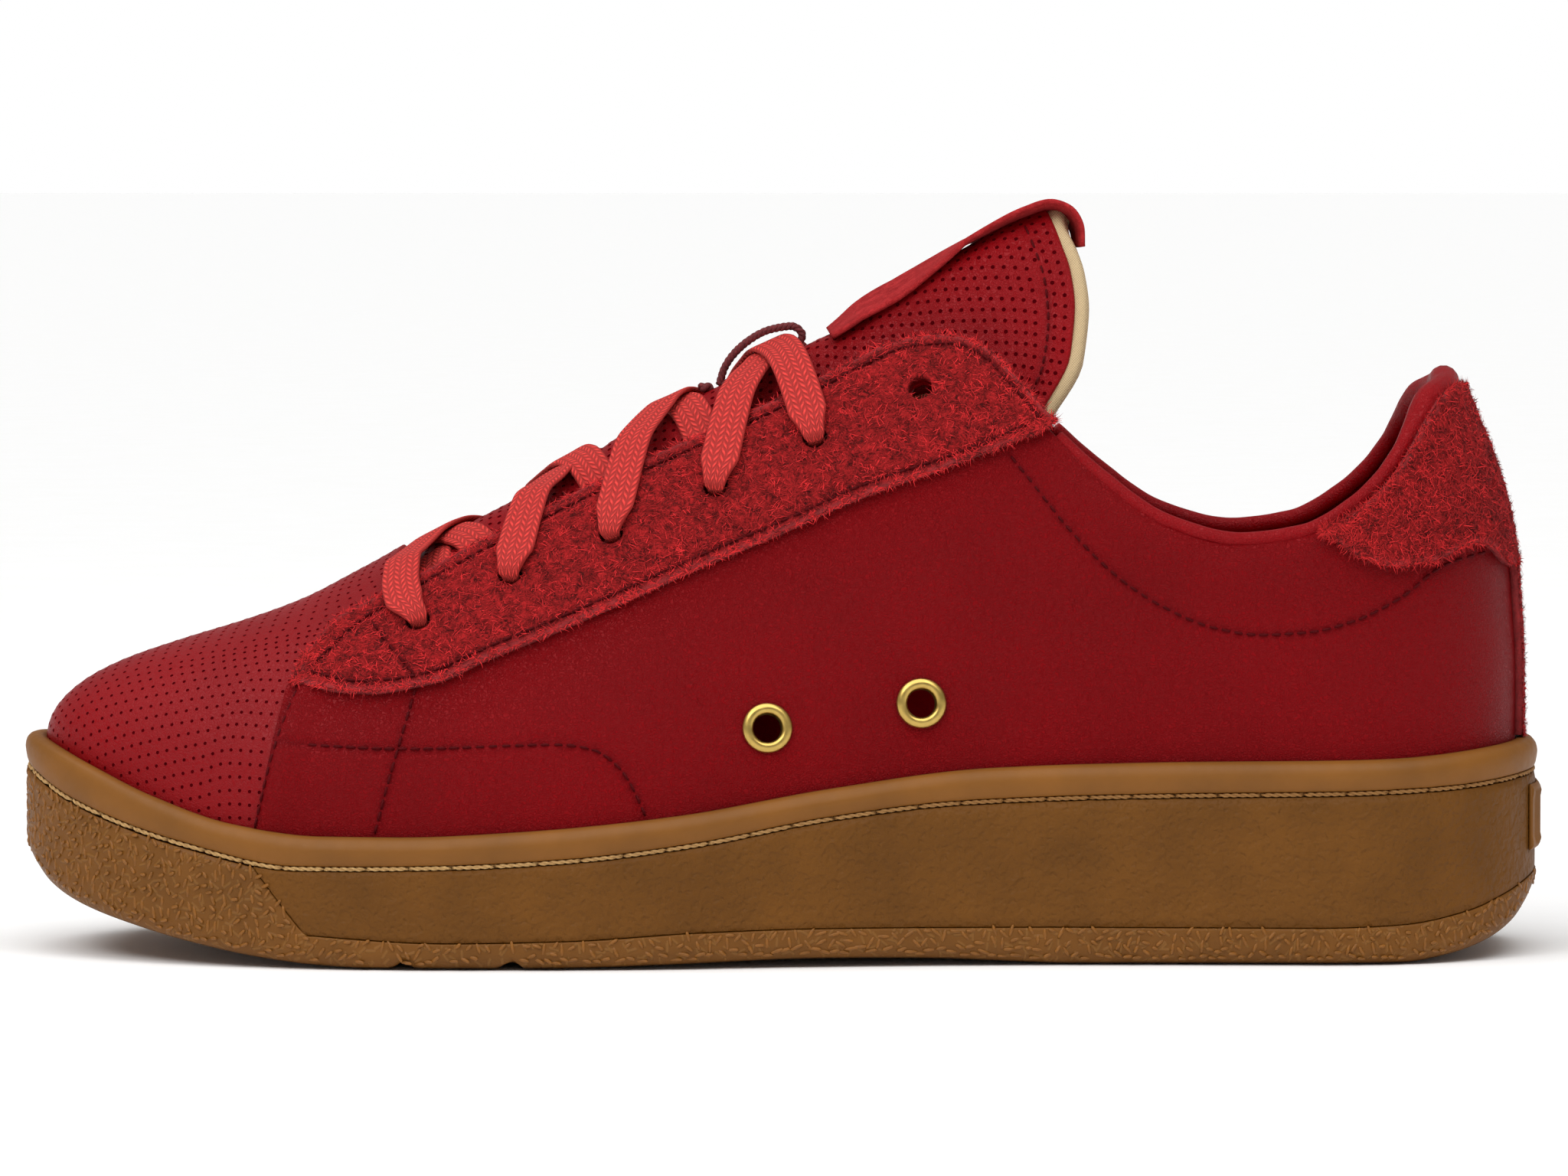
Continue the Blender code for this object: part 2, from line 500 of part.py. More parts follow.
def build_sole():
    floor = shifted(SOLE_BOTTOM, OUTSOLE_FLOOR)
    outsole = slab("outsole", [
        (PLATE_INSET, SOLE_BOTTOM), (3.4, SOLE_BOTTOM), (0.9, shifted(SOLE_BOTTOM, 1.0)),
        (0, shifted(SOLE_BOTTOM, 3.0)), (0, outsole_top), (WALL_INSET, outsole_top), (WALL_INSET, floor),
        (PLATE_INSET / 2, floor), (PLATE_INSET, floor)], GUM)
    notch = bmesh.new()
    for x, lean in FLEX_GROOVES:
        made = bmesh.ops.create_cube(notch, size=1)["verts"]
        bmesh.ops.scale(notch, vec=(FLEX_GROOVE_WIDTH, FLEX_GROOVE_REACH, FLEX_GROOVE_DEPTH), verts=made)
        bmesh.ops.rotate(notch, verts=made, matrix=Matrix.Rotation(lean, 3, "Z"))
        bmesh.ops.translate(notch, vec=(x, 0, 0), verts=made)
    bmesh.ops.scale(notch, vec=(MM, MM, MM), verts=notch.verts)
    mesh = bpy.data.meshes.new("flex_groove_cutter")
    notch.to_mesh(mesh)
    notch.free()
    cut(outsole, cutter("flex_groove_cutter", mesh))

    # The wall runs from behind the toe wrap round the heel, between the outsole's rim and the stitched groove.
    first = int(np.searchsorted(plan(STATIONS, MEDIAL)[0], WRAP_START_X + WRAP_RUN + 1))
    path_t = np.concatenate([STATIONS[first:], STATIONS[-2:first - 1:-1]])
    path_side = np.where(np.arange(len(path_t)) < len(STATIONS) - first, MEDIAL, LATERAL)
    strip("sidewall", [
        (0, shifted(outsole_top, PLAY)), (0, shifted(STITCH_LINE, -GROOVE_HALF)),
        (WALL_INSET, shifted(STITCH_LINE, -GROOVE_HALF)), (WALL_INSET, shifted(outsole_top, PLAY))],
        path_t, path_side, GUM)
    band("foxing_band", [
        (0.1, shifted(STITCH_LINE, GROOVE_HALF)), (-0.3, shifted(STITCH_LINE, 3.5)),
        (0.3, shifted(BAND_TOP, -1.2)), (1.3, BAND_TOP), (WALL_INSET, shifted(BAND_TOP, 0.2)),
        (WALL_INSET, shifted(STITCH_LINE, GROOVE_HALF))], GUM_BAND)
    x, y = plan(LOOP_T, LOOP_SIDE, 1.0)
    tube("sole_stitch_thread", np.stack([x, y, STITCH_LINE(x)], 1), THREAD_RADIUS, THREAD, closed=True,
         sides=0)
    badge_t = np.array([0.945, 0.965, 0.982, 1.0, 0.982, 0.965, 0.945])
    badge_side = np.array([MEDIAL] * 4 + [LATERAL] * 3)
    badge = [(-0.95, BADGE_LOW + 0.6), (-0.95, BADGE_HIGH - 0.6), (-0.35, BADGE_HIGH), (-0.35, BADGE_LOW)]
    strip("heel_badge", badge, badge_t, badge_side, GUM_BAND)

    slab("midsole_core", [
        (PLATE_INSET, shifted(floor, PLAY)), (PLATE_INSET / 2, shifted(floor, PLAY)),
        (WALL_INSET + PLAY, shifted(floor, 2 * PLAY)), (WALL_INSET + PLAY, FOOTBED),
        (PLATE_INSET, FOOTBED)], FOAM)
    top = PLAY + BOARD_THICKNESS
    board = [(PLATE_INSET, PLAY), (BOARD_INSET, PLAY), (BOARD_INSET, top), (PLATE_INSET, top)]
    slab("insole_board", [(inset, shifted(FOOTBED, up)) for inset, up in board], BOARD)
    base = top + PLAY
    liner = [(PLATE_INSET, base), (LINER_INSET, base), (LINER_INSET - 0.3, base + LINER_THICKNESS * 0.7),
             (LINER_INSET + 1.2, base + LINER_THICKNESS), (PLATE_INSET, base + LINER_THICKNESS)]
    slab("sockliner", [(inset, shifted(FOOTBED, up)) for inset, up in liner], LINER)


def skirt_q(t):
    """The q of the upper's lasted edge, just above the footbed inside the cup."""
    x = plan(t, MEDIAL, UPPER_INSET)[0]
    return height(t, FOOTBED(x) + 1.0)


def vamp_grid(used=11):
    """Stations of the toe: columns from the medial edge over the ridge to the lateral one, in the rows used."""
    halves = []
    for side in (MEDIAL, LATERAL):
        rear_t, rear_q = locate(spread(QUARTER_FRONT, 7), side, LEATHER[1])
        rear_t = np.concatenate([rear_t, along([-75.0, -73.5])])
        rear_q = np.concatenate([rear_q, [0.5 + rear_q[-1] / 2, 1.0]])
        share = np.linspace(0, 1, 11)[:used, None] ** 0.75
        t = rear_t[None, :] * share
        q = np.repeat(rear_q[None, :], used, 0)
        q[:, 0] = skirt_q(t[:, 0])
        q[:, 1] = skirt_q(t[:, 1]) * 0.4
        halves.append((t, q))
    return both_sides(*halves)


def build_vamp():
    sheet("vamp", *vamp_grid(), LEATHER, LEATHER_RED)
    sheet("vamp_lining", *vamp_grid(), DEEP_LINING, LINING_RED)
    sheet("toe_puff", *vamp_grid(used=6), STIFFENER, STIFF)


def rear_stations():
    """The stations behind the eyestays, up to the back seam."""
    return STATIONS[STATIONS > along(COLLAR_X) + 0.012]


def line_at(outline, side, offset, t):
    """The q of a side-view outline at given stations."""
    line_t, line_q = locate(spread(outline, 24), side, offset)
    return curve(np.stack([line_t, line_q], 1))(t)


def lowered(outline, drop):
    """A side-view outline, followed from front to back, moved into the leather below it."""
    points = np.array(outline, float)
    heading = np.gradient(points, axis=0)
    heading /= np.linalg.norm(heading, axis=1, keepdims=True)
    return points + np.stack([heading[:, 1], -heading[:, 0]], 1) * drop


def columns(side, drop):
    """Stations of a quarter's lower and upper edges, from its front edge to the back seam."""
    front = spread(QUARTER_FRONT[2:], 4)[:-1] + (PLAY, 0)
    over = spread(THROAT + [(38.4, 117.2), (43.8, 110.6), (48.0, 103.6)], FRONT_COLUMNS) - (0, 0.4)
    front_t, front_q = locate(np.concatenate([front, over]), side, LEATHER[1])
    rear_t = rear_stations()
    rear_q = line_at(lowered(TOPLINE, drop), side, LEATHER[1], rear_t)
    top_t, top_q = np.concatenate([front_t, rear_t]), np.concatenate([front_q, rear_q])
    top_x = plan(top_t, side, UPPER_INSET)[0]
    slide = np.clip((-40 - top_x) / (-40 - top_x[0]), 0, 1) ** 1.5
    low_t = along(top_x + (QUARTER_FRONT_X - top_x[0]) * slide)
    top_t[-1] = low_t[-1] = SEAM_T
    return low_t, top_t, top_q


def panel_grid(side, drop=4.2):
    """Stations of a quarter: its lasted edge, then rows from the foxing band up to its upper edge."""
    low_t, top_t, top_q = columns(side, drop)
    t, q = ruled((low_t, 0 * low_t), (top_t, top_q), PANEL_ROWS)
    t = np.concatenate([low_t[None, :], t])
    q = np.concatenate([skirt_q(low_t)[None, :], q])
    return t, np.full(t.shape, side), q


def rear_grid(low, high, rows, first_x=None):
    """Columns round the heel from side to side, between two side-view lines given as (outline, offset)."""
    halves = []
    for side in (MEDIAL, LATERAL):
        t = rear_stations()
        if first_x is not None:
            t = np.concatenate([[float(along(first_x))], t[t > along(first_x) + 0.008]])
        ends = [np.full(len(t), offset) if outline is None else line_at(outline, side, offset, t)
                for outline, offset in (low, high)]
        q = ends[0][None, :] + (ends[1] - ends[0])[None, :] * np.array(rows)[:, None]
        halves.append((np.repeat(t[None, :], len(rows), 0), q))
    return both_sides(*halves)


def build_quarters():
    for side, word in ((MEDIAL, "medial"), (LATERAL, "lateral")):
        quarter = sheet("quarter_" + word, *panel_grid(side), LEATHER, LEATHER_RED)
        t, sides, q = panel_grid(side)
        seam_t, seam_q = locate(spread(lowered(COLLAR_SEAM, 1.0), 24), side, LINING[1])
        ceiling = curve(np.stack([seam_t, seam_q], 1))(t)
        behind = t > along(COLLAR_X - 4)
        top = np.where(behind[-1], ceiling[-1], q[-1])
        share = np.concatenate([[0], PANEL_ROWS])[:, None]
        q = np.where(np.arange(len(q))[:, None] > 0, top[None, :] * share, q)
        x = plan(t, side, UPPER_INSET)[0]
        deep = np.clip((x - 52) / 14, 0, 1) * (DEEP_LINING[0] - LINING[0])
        lining = cushion("quarter_lining_" + word, t, sides, q, LINING[0] + deep, LINING[1] + deep, LINING_RED)
        holes = [eyelet_axis(place, side) for place in EYELETS]
        tool = pin_cutter("eyelet_cutter_" + word, holes, EYELET_RADIUS)
        low = spread(EYESTAY_LOWER, 17)
        high = spread(EYESTAY_UPPER, 17)
        stay = ruled(locate(low, side, OVERLAY[1]), locate(high, side, OVERLAY[1]), np.linspace(0, 1, 5))
        eyestay = sheet("eyestay_" + word, stay[0], np.full(stay[0].shape, side), stay[1], OVERLAY, SUEDE_RED)
        for piece in (quarter, lining, eyestay):
            cut(piece, tool)
        if side == MEDIAL:
            vents = pin_cutter("vent_cutter", [eyelet_axis(place, side) for place in VENTS], VENT_BARREL + PLAY)
            cut(quarter, vents)
            cut(lining, vents)


def eyelet_axis(place, side):
    """The centre and outward direction of a hole through the upper at a side-view point."""
    t, q = locate([place], side, LEATHER[1])
    centre = surface(t, side, q, LEATHER[1])[0]
    return centre, surface(t, side, q, LEATHER[1] + 1)[0] - centre


def build_heel():
    """Collar padding and lining, rolled edge, heel counter, heel tab and backstay."""
    rows = [0.0, 0.2, 0.45, 0.72, 1.0]
    t, side, q = rear_grid((COLLAR_SEAM, LINING[1]), (lowered(TOPLINE, 4.6), LEATHER[1]), rows)
    bulge = np.array([0.0, 2.2, 4.2, 4.6, 3.2])[:, None]
    end = np.concatenate([np.linspace(0, 1, 5)[:-1], np.ones(t.shape[1] - 8), np.linspace(1, 0, 5)[1:]])
    depth = bulge * end[None, :]
    cushion("collar_foam", t, side, q, -1.6 - depth, -0.5 + 0 * depth, FOAM)
    cushion("collar_lining", t, side, q, -3.0 - depth, -2.1 - depth, LINING_RED)

    t, side, q = rear_grid((None, -0.3), (lowered(COLLAR_SEAM, 1.6), LINING[1]), np.linspace(0, 1, 5), 76.0)
    sheet("heel_counter", t, side, q, STIFFENER, STIFF)

    edge = []
    for side in (MEDIAL, LATERAL):
        t = np.concatenate([[float(along(54.6))], rear_stations()])
        q = line_at(np.vstack([(50.8, 103.6), lowered(TOPLINE, 1.7)]), side, LEATHER[1], t)
        edge.append(surface(t, side, q, -1.0))
    path = np.concatenate([edge[0], edge[1][-2::-1]])
    tube("collar_piping", smooth_path(path, 38), PIPING_RADIUS, LEATHER_RED, sides=1)

    t, side, q = rear_grid((HEEL_TAB_LOWER, OVERLAY[1]), (lowered(TOPLINE, 2.4), OVERLAY[1]),
                           np.linspace(0, 1, 6), 105.2)
    sheet("heel_tab", t, side, q, OVERLAY, SUEDE_RED)
    half = np.array([0.97, 0.985, 1.0])
    top = line_at([(130, 72.6), (142.4, 72.6)], MEDIAL, OVERLAY[1], half)
    t, side, q = both_sides(*[ruled((half, 0 * half + 0.012), (half, top), 6)] * 2)
    sheet("backstay", t, side, q, OVERLAY, SUEDE_RED)


def build_vents():
    """Turned brass eyelets: a domed flange outside and a barrel through the leather and the lining."""
    profile = [(VENT_HOLE, -1.6), (VENT_BARREL, -1.6), (VENT_BARREL, 0.35), (VENT_FLANGE, 0.35),
               (VENT_FLANGE, 0.7), (3.8, 1.3), (VENT_HOLE, 0.7)]
    for place, word in zip(VENTS, ("front", "rear")):
        centre, normal = eyelet_axis(place, MEDIAL)
        across = np.cross(normal, (0, 0, 1))
        across /= np.linalg.norm(across)
        frame = Matrix([(*row, 0) for row in zip(across, np.cross(normal, across), normal)]).to_4x4()
        bm = bmesh.new()
        for r, z in profile:
            bm.verts.new((r * MM, 0, z * MM))
        bm.verts.ensure_lookup_table()
        for i in range(len(profile)):
            bm.edges.new((bm.verts[i], bm.verts[(i + 1) % len(profile)]))
        bmesh.ops.spin(bm, geom=bm.verts[:] + bm.edges[:], cent=(0, 0, 0), axis=(0, 0, 1), angle=2 * math.pi,
                       steps=14, use_merge=True)
        bmesh.ops.remove_doubles(bm, verts=bm.verts, dist=1e-6)
        bmesh.ops.recalc_face_normals(bm, faces=bm.faces)
        mesh = bpy.data.meshes.new("vent_eyelet_" + word)
        bm.to_mesh(mesh)
        bm.free()
        made = add_object("vent_eyelet_" + word, mesh, BRASS)
        frame.translation = centre * MM
        made.matrix_world = frame


def tongue_lower_grid():
    halves = []
    for side in (MEDIAL, LATERAL):
        t = np.linspace(float(along(TONGUE_START_X)), float(along(TONGUE_SPLIT[0])), 9)
        edge = line_at(TONGUE_SIDE, side, TONGUE_FACE[1], t)
        share = np.linspace(0, 1, 6)[None, :]
        q = edge[:, None] * (1 - share) + share
        halves.append((np.repeat(t[:, None], 6, 1), q))
    return both_sides(*halves)


def tongue_top_grid(back):
    """The free end of the tongue; back moves its rear edge towards the toe."""
    halves = []
    for side in (MEDIAL, LATERAL):
        end_t, end_q = locate(spread([(x - back, z) for x, z in TONGUE_END], 14), side, TONGUE_FACE[1])
        end = curve(np.stack([np.concatenate([end_q, [1.0]]), np.concatenate([end_t, end_t[-1:] - 0.0005])], 1))
        start = float(along(TONGUE_SPLIT[1]))
        side_t = np.linspace(start, float(along(49.5 - back)), 6)
        edge = line_at(TONGUE_TOP_SIDE, side, TONGUE_FACE[1], side_t)
        share = np.linspace(0, 1, 8)[None, :]
        q = edge[:, None] * (1 - share) + share
        run = np.linspace(0, 1, 6)[:, None]
        t = start + (end(q) - start) * run
        halves.append((t, q))
    return both_sides(*halves)


def build_tongue():
    t, side, q = tongue_lower_grid()
    sheet("tongue_lower_face", t, side, q, TONGUE_FACE, LEATHER_RED)
    sheet("tongue_lower_foam", t, side, q, TONGUE_FOAM, FOAM)
    sheet("tongue_lower_lining", t, side, q, TONGUE_LINING, TONGUE_CREAM)
    t, side, q = tongue_top_grid(2.2)
    sheet("tongue_top_face", t, side, q, TONGUE_FACE, LEATHER_RED)
    t, side, q = tongue_top_grid(0.0)
    sheet("tongue_top_foam", t, side, q, TONGUE_FOAM, FOAM)
    sheet("tongue_top_lining", t, side, q, TONGUE_LINING, TONGUE_CREAM)

    path = smooth_path([(x, 0, z) for x, z in PULL_STRAP], 18)
    across = np.tile((0.0, 1.0, 0.0), (len(path), 1))
    even = np.ones(len(path))
    ribbon("pull_strap", path, across, even * STRAP_WIDTH, even * STRAP_THICKNESS, SUEDE_RED)


def eyelet_place(index, side):
    """An eyelet as (t, s), where s runs across the shoe from -1 at the medial band to 1 at the lateral one."""
    t, q = locate([EYELETS[index]], side, LEATHER[1])
    return np.array([t[0], side * (1 - q[0])])


def across_place(place, offset):
    """The point and the outward normal at (t, s)."""
    side = MEDIAL if place[1] < 0 else LATERAL
    q = min(1 - abs(place[1]), 0.9985)
    low = surface(place[0], side, q, offset)
    return low, surface(place[0], side, q, offset + 1) - low


def strand(start, end, levels):
    """Points of a lace between two places: levels are (share of the way, offset)."""
    level = curve(levels)
    return [across_place(start * (1 - f) + end * f, float(level(f))) for f in np.linspace(0.08, 0.92, 12)]


def hole_pass(place, outward):
    """Points of a lace through an eyelet, from inside to outside or back."""
    made = [across_place(place, level) for level in (-2.3, -0.6, 1.2, 2.8, 4.3)]
    return made if outward else made[::-1]


def lace_half(side, lane):
    """One half of the lace, from the first eyelet's inside to its tail behind the fifth eyelet."""
    near, far = side, -side
    here = eyelet_place(0, near)
    there = eyelet_place(1, near)
    route = hole_pass(here, outward=False)
    route += [across_place(here * (1 - f) + there * f, UNDER) for f in (0.2, 0.4, 0.6, 0.8)]
    over_under = {"high": [(0, OVER), (0.2, OVER), (0.36, 0.2), (0.5, -1.1), (0.62, -0.9), (0.71, -1.1),
                           (0.79, UNDER), (1, UNDER)],
                  "low": [(0, OVER), (0.2, OVER), (0.305, -2.0), (0.38, -2.6), (0.62, -2.6), (0.79, UNDER),
                          (1, UNDER)]}
    in_loop = {"high": 1.85, "low": 0.35}[lane]
    for index in (1, 2, 3):
        start, end = eyelet_place(index, near), eyelet_place(index + 1, far)
        route += hole_pass(start, outward=True)
        if index < 3:
            route += strand(start, end, over_under[lane])
        else:
            route += strand(start, end, [(0, OVER), (0.19, OVER), (0.4, in_loop), (0.6, in_loop), (0.81, OVER),
                                         (1, OVER)])
        near, far = far, near
    last = eyelet_place(4, near)
    tail = locate([(20.0, 97.0)], near, LEATHER[1])
    tail = np.array([tail[0][0], near * (1 - tail[1][0])])
    route += hole_pass(last, outward=False)
    route += [across_place(last * (1 - f) + tail * f, UNDER) for f in (0.3, 0.65, 1.0)]
    return route


def build_lace():
    """One flat lace: a bar at the first eyelets, crossings up to the fifth, and both tails tucked inside."""
    bar = strand(eyelet_place(0, LATERAL), eyelet_place(0, MEDIAL),
                 [(0, OVER), (0.2, OVER), (0.5, 2.6), (0.8, OVER), (1, OVER)])
    route = lace_half(LATERAL, "low")[::-1] + bar + lace_half(MEDIAL, "high")
    centres = np.array([point for point, normal in route])
    normals = np.array([normal for point, normal in route])
    run = np.concatenate([[0], np.cumsum(np.linalg.norm(np.diff(centres, axis=0), axis=1))])
    holes = [across_place(eyelet_place(i, side), 0.8)[0] for i in range(5) for side in (MEDIAL, LATERAL)]
    heading = np.gradient(centres, axis=0)
    heading /= np.linalg.norm(heading, axis=1, keepdims=True)
    broad = np.zeros_like(centres)
    last = np.cross(normals[0], heading[0])
    for i in range(len(centres)):
        flat = np.cross(normals[i], heading[i])
        if np.linalg.norm(flat) > 0.5:
            last = flat * (1 if np.dot(flat, last) >= 0 else -1)
        last = last - heading[i] * np.dot(last, heading[i])
        last = last / np.linalg.norm(last)
        broad[i] = last
    nearest = np.array([min(np.linalg.norm(c - hole) for hole in holes) for c in centres])
    open_share = np.clip((nearest - 3.0) / 5.0, 0, 1)
    widths = LACE_NECK + (LACE_WIDTH - LACE_NECK) * open_share
    thick = 1.5 + (LACE_THICKNESS - 1.5) * open_share
    ribbon("lace", centres, broad, widths, thick, LACE_RED)


def build_keeper():
    """A thin cord loop on the tongue that the top crossing of the lace passes through, with its knot."""
    points = smooth_path([(x, 0, z) for x, z in KEEPER_LOOP + KEEPER_LOOP[:1]], 21)[:-1]
    tube("lace_keeper", points, KEEPER_RADIUS, CORD_RED, closed=True, sides=1)
    knot = bmesh.new()
    bmesh.ops.create_icosphere(knot, subdivisions=2, radius=KNOT_RADIUS)
    bmesh.ops.translate(knot, vec=(KNOT_X, 0, KNOT_Z), verts=knot.verts)
    finish_mesh("keeper_knot", knot, CORD_RED)


build_sole()
build_vamp()
build_quarters()
build_heel()
build_vents()
build_tongue()
build_lace()
build_keeper()
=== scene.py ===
"""The finished look of a low-top court shoe: leather, suede, gum rubber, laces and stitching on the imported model.

Sizes in the code are millimetres along the shoe (toe at -X, medial side at -Y, +Z up) and every mesh is in metres.
"""

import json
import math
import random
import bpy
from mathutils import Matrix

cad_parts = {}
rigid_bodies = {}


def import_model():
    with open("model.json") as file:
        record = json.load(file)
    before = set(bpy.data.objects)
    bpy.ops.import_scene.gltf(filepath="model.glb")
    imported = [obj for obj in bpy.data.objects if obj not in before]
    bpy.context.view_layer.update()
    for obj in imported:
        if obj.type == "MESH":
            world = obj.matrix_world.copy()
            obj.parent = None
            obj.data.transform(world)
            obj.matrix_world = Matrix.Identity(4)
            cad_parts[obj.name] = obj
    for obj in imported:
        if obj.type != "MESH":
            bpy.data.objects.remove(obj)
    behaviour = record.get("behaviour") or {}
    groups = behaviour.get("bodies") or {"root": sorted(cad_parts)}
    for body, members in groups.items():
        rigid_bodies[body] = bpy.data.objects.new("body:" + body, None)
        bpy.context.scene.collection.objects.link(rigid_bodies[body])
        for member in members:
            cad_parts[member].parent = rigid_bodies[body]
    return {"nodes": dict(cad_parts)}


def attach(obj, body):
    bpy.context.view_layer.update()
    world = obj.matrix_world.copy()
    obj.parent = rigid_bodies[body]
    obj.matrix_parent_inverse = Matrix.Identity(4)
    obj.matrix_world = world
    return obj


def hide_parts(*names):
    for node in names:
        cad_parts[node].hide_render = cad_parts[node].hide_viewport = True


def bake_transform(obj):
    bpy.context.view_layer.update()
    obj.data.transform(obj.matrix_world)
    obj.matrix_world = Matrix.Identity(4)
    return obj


bl_info = {
    "name": "Court shoe",
    "version": (1, 0, 0),
    "blender": (4, 5, 0),
    "location": "View3D > Sidebar > Court shoe",
    "description": "Builds the leather, suede, rubber and lacing of a low-top court shoe",
    "category": "Add Mesh",
}

import bmesh
import bpy
import numpy as np
from mathutils import Vector
from mathutils.kdtree import KDTree

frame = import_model()
NODES = frame["nodes"]

MM = 0.001

# The sole's outline, seen from above, and insets from it.
TOE_X, HEEL_X = -147.5, 146.8
TOE_ROUND, HEEL_ROUND = 78.0, 46.0
TOE_POWER, HEEL_POWER = 2.1, 2.3
MEDIAL, LATERAL = -1.0, 1.0
SIDES = ((MEDIAL, "medial"), (LATERAL, "lateral"))
WALL_INSET = 3.4
UPPER_INSET = 5.1
LINER_INSET = 9.2
OUTSOLE_FLOOR = 5.0
GROOVE_HALF = 0.7
PLAY = 0.4
SKIRT = 20.0
FLEX_GROOVES = ((-76.0, 0.10), (-53.0, 0.05))
WRAP_START_X, WRAP_RUN = -99.7, 10.0

# Layers of the upper, as distances outwards from the inner face of the outer leather.
LEATHER = (0.0, 1.2)
OVERLAY = (1.8, 3.0)
TONGUE_FACE = (-4.6, -3.6)
TONGUE_PAD = (-8.8, -5.0)
OVER, UNDER = 3.8, -2.4
LACE_NECK = 3.3
EYELET_RADIUS = 2.4
PANEL_EDGE = 0.5


# Side-view outlines of the upper's pieces, as (x, z).
QUARTER_FRONT = [(-102.0, 23.0), (-99.0, 38.0), (-94.4, 52.4), (-86.0, 62.5), (-77.0, 70.3)]
THROAT = [(-76.0, 70.4), (-61.6, 77.9), (-45.5, 86.6), (-28.7, 94.4), (-9.0, 103.5), (6.2, 110.8),
          (16.0, 115.8), (25.3, 119.2), (33.4, 119.6)]
EYESTAY_LOWER = [(-92.6, 54.0), (-79.8, 52.4), (-69.6, 53.4), (-54.9, 59.0), (-35.4, 67.0), (-14.0, 76.4),
                 (2.1, 83.1), (15.5, 89.1), (33.4, 95.3), (47.7, 101.0)]
EYESTAY_UPPER = [(-91.0, 59.0), (-83.4, 67.1), (-75.5, 70.9), (-61.6, 78.4), (-36.8, 91.1), (-9.0, 103.8),
                 (6.2, 111.0), (16.0, 116.2), (25.3, 119.6), (33.4, 120.1), (38.6, 118.0), (44.9, 112.3),
                 (52.6, 103.6)]
TOPLINE = [(52.6, 102.6), (59.6, 96.0), (70.3, 87.9), (79.0, 83.7), (87.5, 82.0), (94.7, 82.4),
           (102.5, 84.6), (109.7, 88.9), (117.0, 96.0), (122.0, 104.0), (127.0, 110.8), (130.0, 113.0)]
COLLAR_SEAM = [(44.0, 97.0), (49.0, 90.8), (56.0, 82.2), (65.3, 73.3), (73.0, 68.3), (82.5, 64.3),
               (91.8, 62.8), (101.0, 63.3), (109.7, 65.4), (118.0, 69.3), (128.0, 76.0), (141.0, 79.0)]
HEEL_TAB_LOWER = [(103.0, 83.6), (108.0, 79.4), (117.6, 75.9), (127.6, 77.2), (134.0, 80.2), (139.0, 78.0),
                  (141.5, 74.5)]
TONGUE_END = [(47.0, 98.0), (52.9, 105.6), (57.6, 114.8), (58.7, 123.4), (58.3, 130.0), (56.6, 136.5),
              (54.6, 141.5)]
TONGUE_SIDE = [(-86.0, 56.0), (-61.0, 69.0), (-37.0, 81.0), (-9.0, 93.0), (7.2, 100.0)]
TONGUE_TOP_SIDE = [(9.4, 102.5), (20.0, 106.5), (33.0, 108.0), (42.0, 105.5), (50.6, 101.5)]
TONGUE_START_X, TONGUE_SPLIT = -82.0, (7.2, 9.4)
PULL_STRAP = [(9.6, 119.0), (11.6, 120.9), (15.0, 124.3), (26.7, 132.1), (38.7, 139.3), (47.0, 143.4),
              (52.0, 144.8), (56.0, 143.6), (58.6, 140.0), (59.2, 136.5)]
KEEPER_LOOP = [(-12.6, 109.6), (-11.8, 112.4), (-8.8, 116.6), (-2.4, 120.4), (1.6, 121.0), (3.6, 119.2),
               (2.2, 116.8), (-3.0, 113.8), (-8.0, 111.4), (-11.0, 109.9)]
KNOT_X, KNOT_Z = -15.3, 109.0
EYELETS = [(-69.0, 64.5), (-51.5, 73.0), (-32.1, 81.1), (-12.3, 90.1), (6.7, 99.5), (27.0, 109.0)]
VENTS = [(-2.1, 45.3), (27.2, 49.8)]

# Rows of stitching on the quarters.
FRONT_SEAM = [(-89.6, 57.2), (-92.1, 52.4), (-96.1, 41.4), (-99.8, 26.1)]
DIAGONAL_SEAM = [(-69.0, 53.6), (-71.6, 44.0), (-74.5, 33.5), (-76.6, 25.3)]
LEVEL_SEAM = [(-95.0, 42.4), (-71.3, 41.6), (-41.3, 42.4), (-35.0, 41.4), (-29.8, 37.7), (-26.6, 32.4),
              (-25.0, 28.7)]
EYESTAY_SEAM = [(-89.0, 57.2), (-82.0, 64.2), (-74.6, 68.9), (-61.0, 76.6), (-36.2, 89.3), (-8.4, 102.0),
                (6.8, 109.2), (16.6, 114.4), (25.8, 117.8), (33.2, 118.2), (37.7, 116.6), (43.6, 111.2),
                (50.2, 103.7)]
EYESTAY_LOW_SEAM = [(-90.0, 55.9), (-79.8, 54.2), (-70.0, 55.2), (-55.5, 60.7), (-36.1, 68.7), (-14.7, 78.1),
                    (1.4, 84.8), (14.8, 90.8), (32.8, 97.0), (47.0, 102.6)]
CORNER_SEAM = [(-69.3, 55.4), (-74.0, 60.3), (-78.6, 65.4)]


def unit(vectors):
    """Vectors at length 1, along the last axis."""
    return vectors / np.linalg.norm(vectors, axis=-1, keepdims=True)


def headings(path):
    """The direction of a path at each of its points."""
    return unit(np.gradient(path, axis=0))


def run_along(points, axis=0):
    """The distance run at each point of a path, or down or across a grid of points."""
    run = np.cumsum(np.linalg.norm(np.diff(points, axis=axis), axis=-1), axis)
    return np.concatenate([0 * np.take(run, [0], axis), run], axis)


def read_at(places, run, values):
    """Rows of values, known at the distances run, read at other places."""
    return np.stack([np.interp(places, run, column) for column in values.T], 1)


def eased(share):
    """A share from 0 to 1 with a slow start and end."""
    return share * share * (3 - 2 * share)


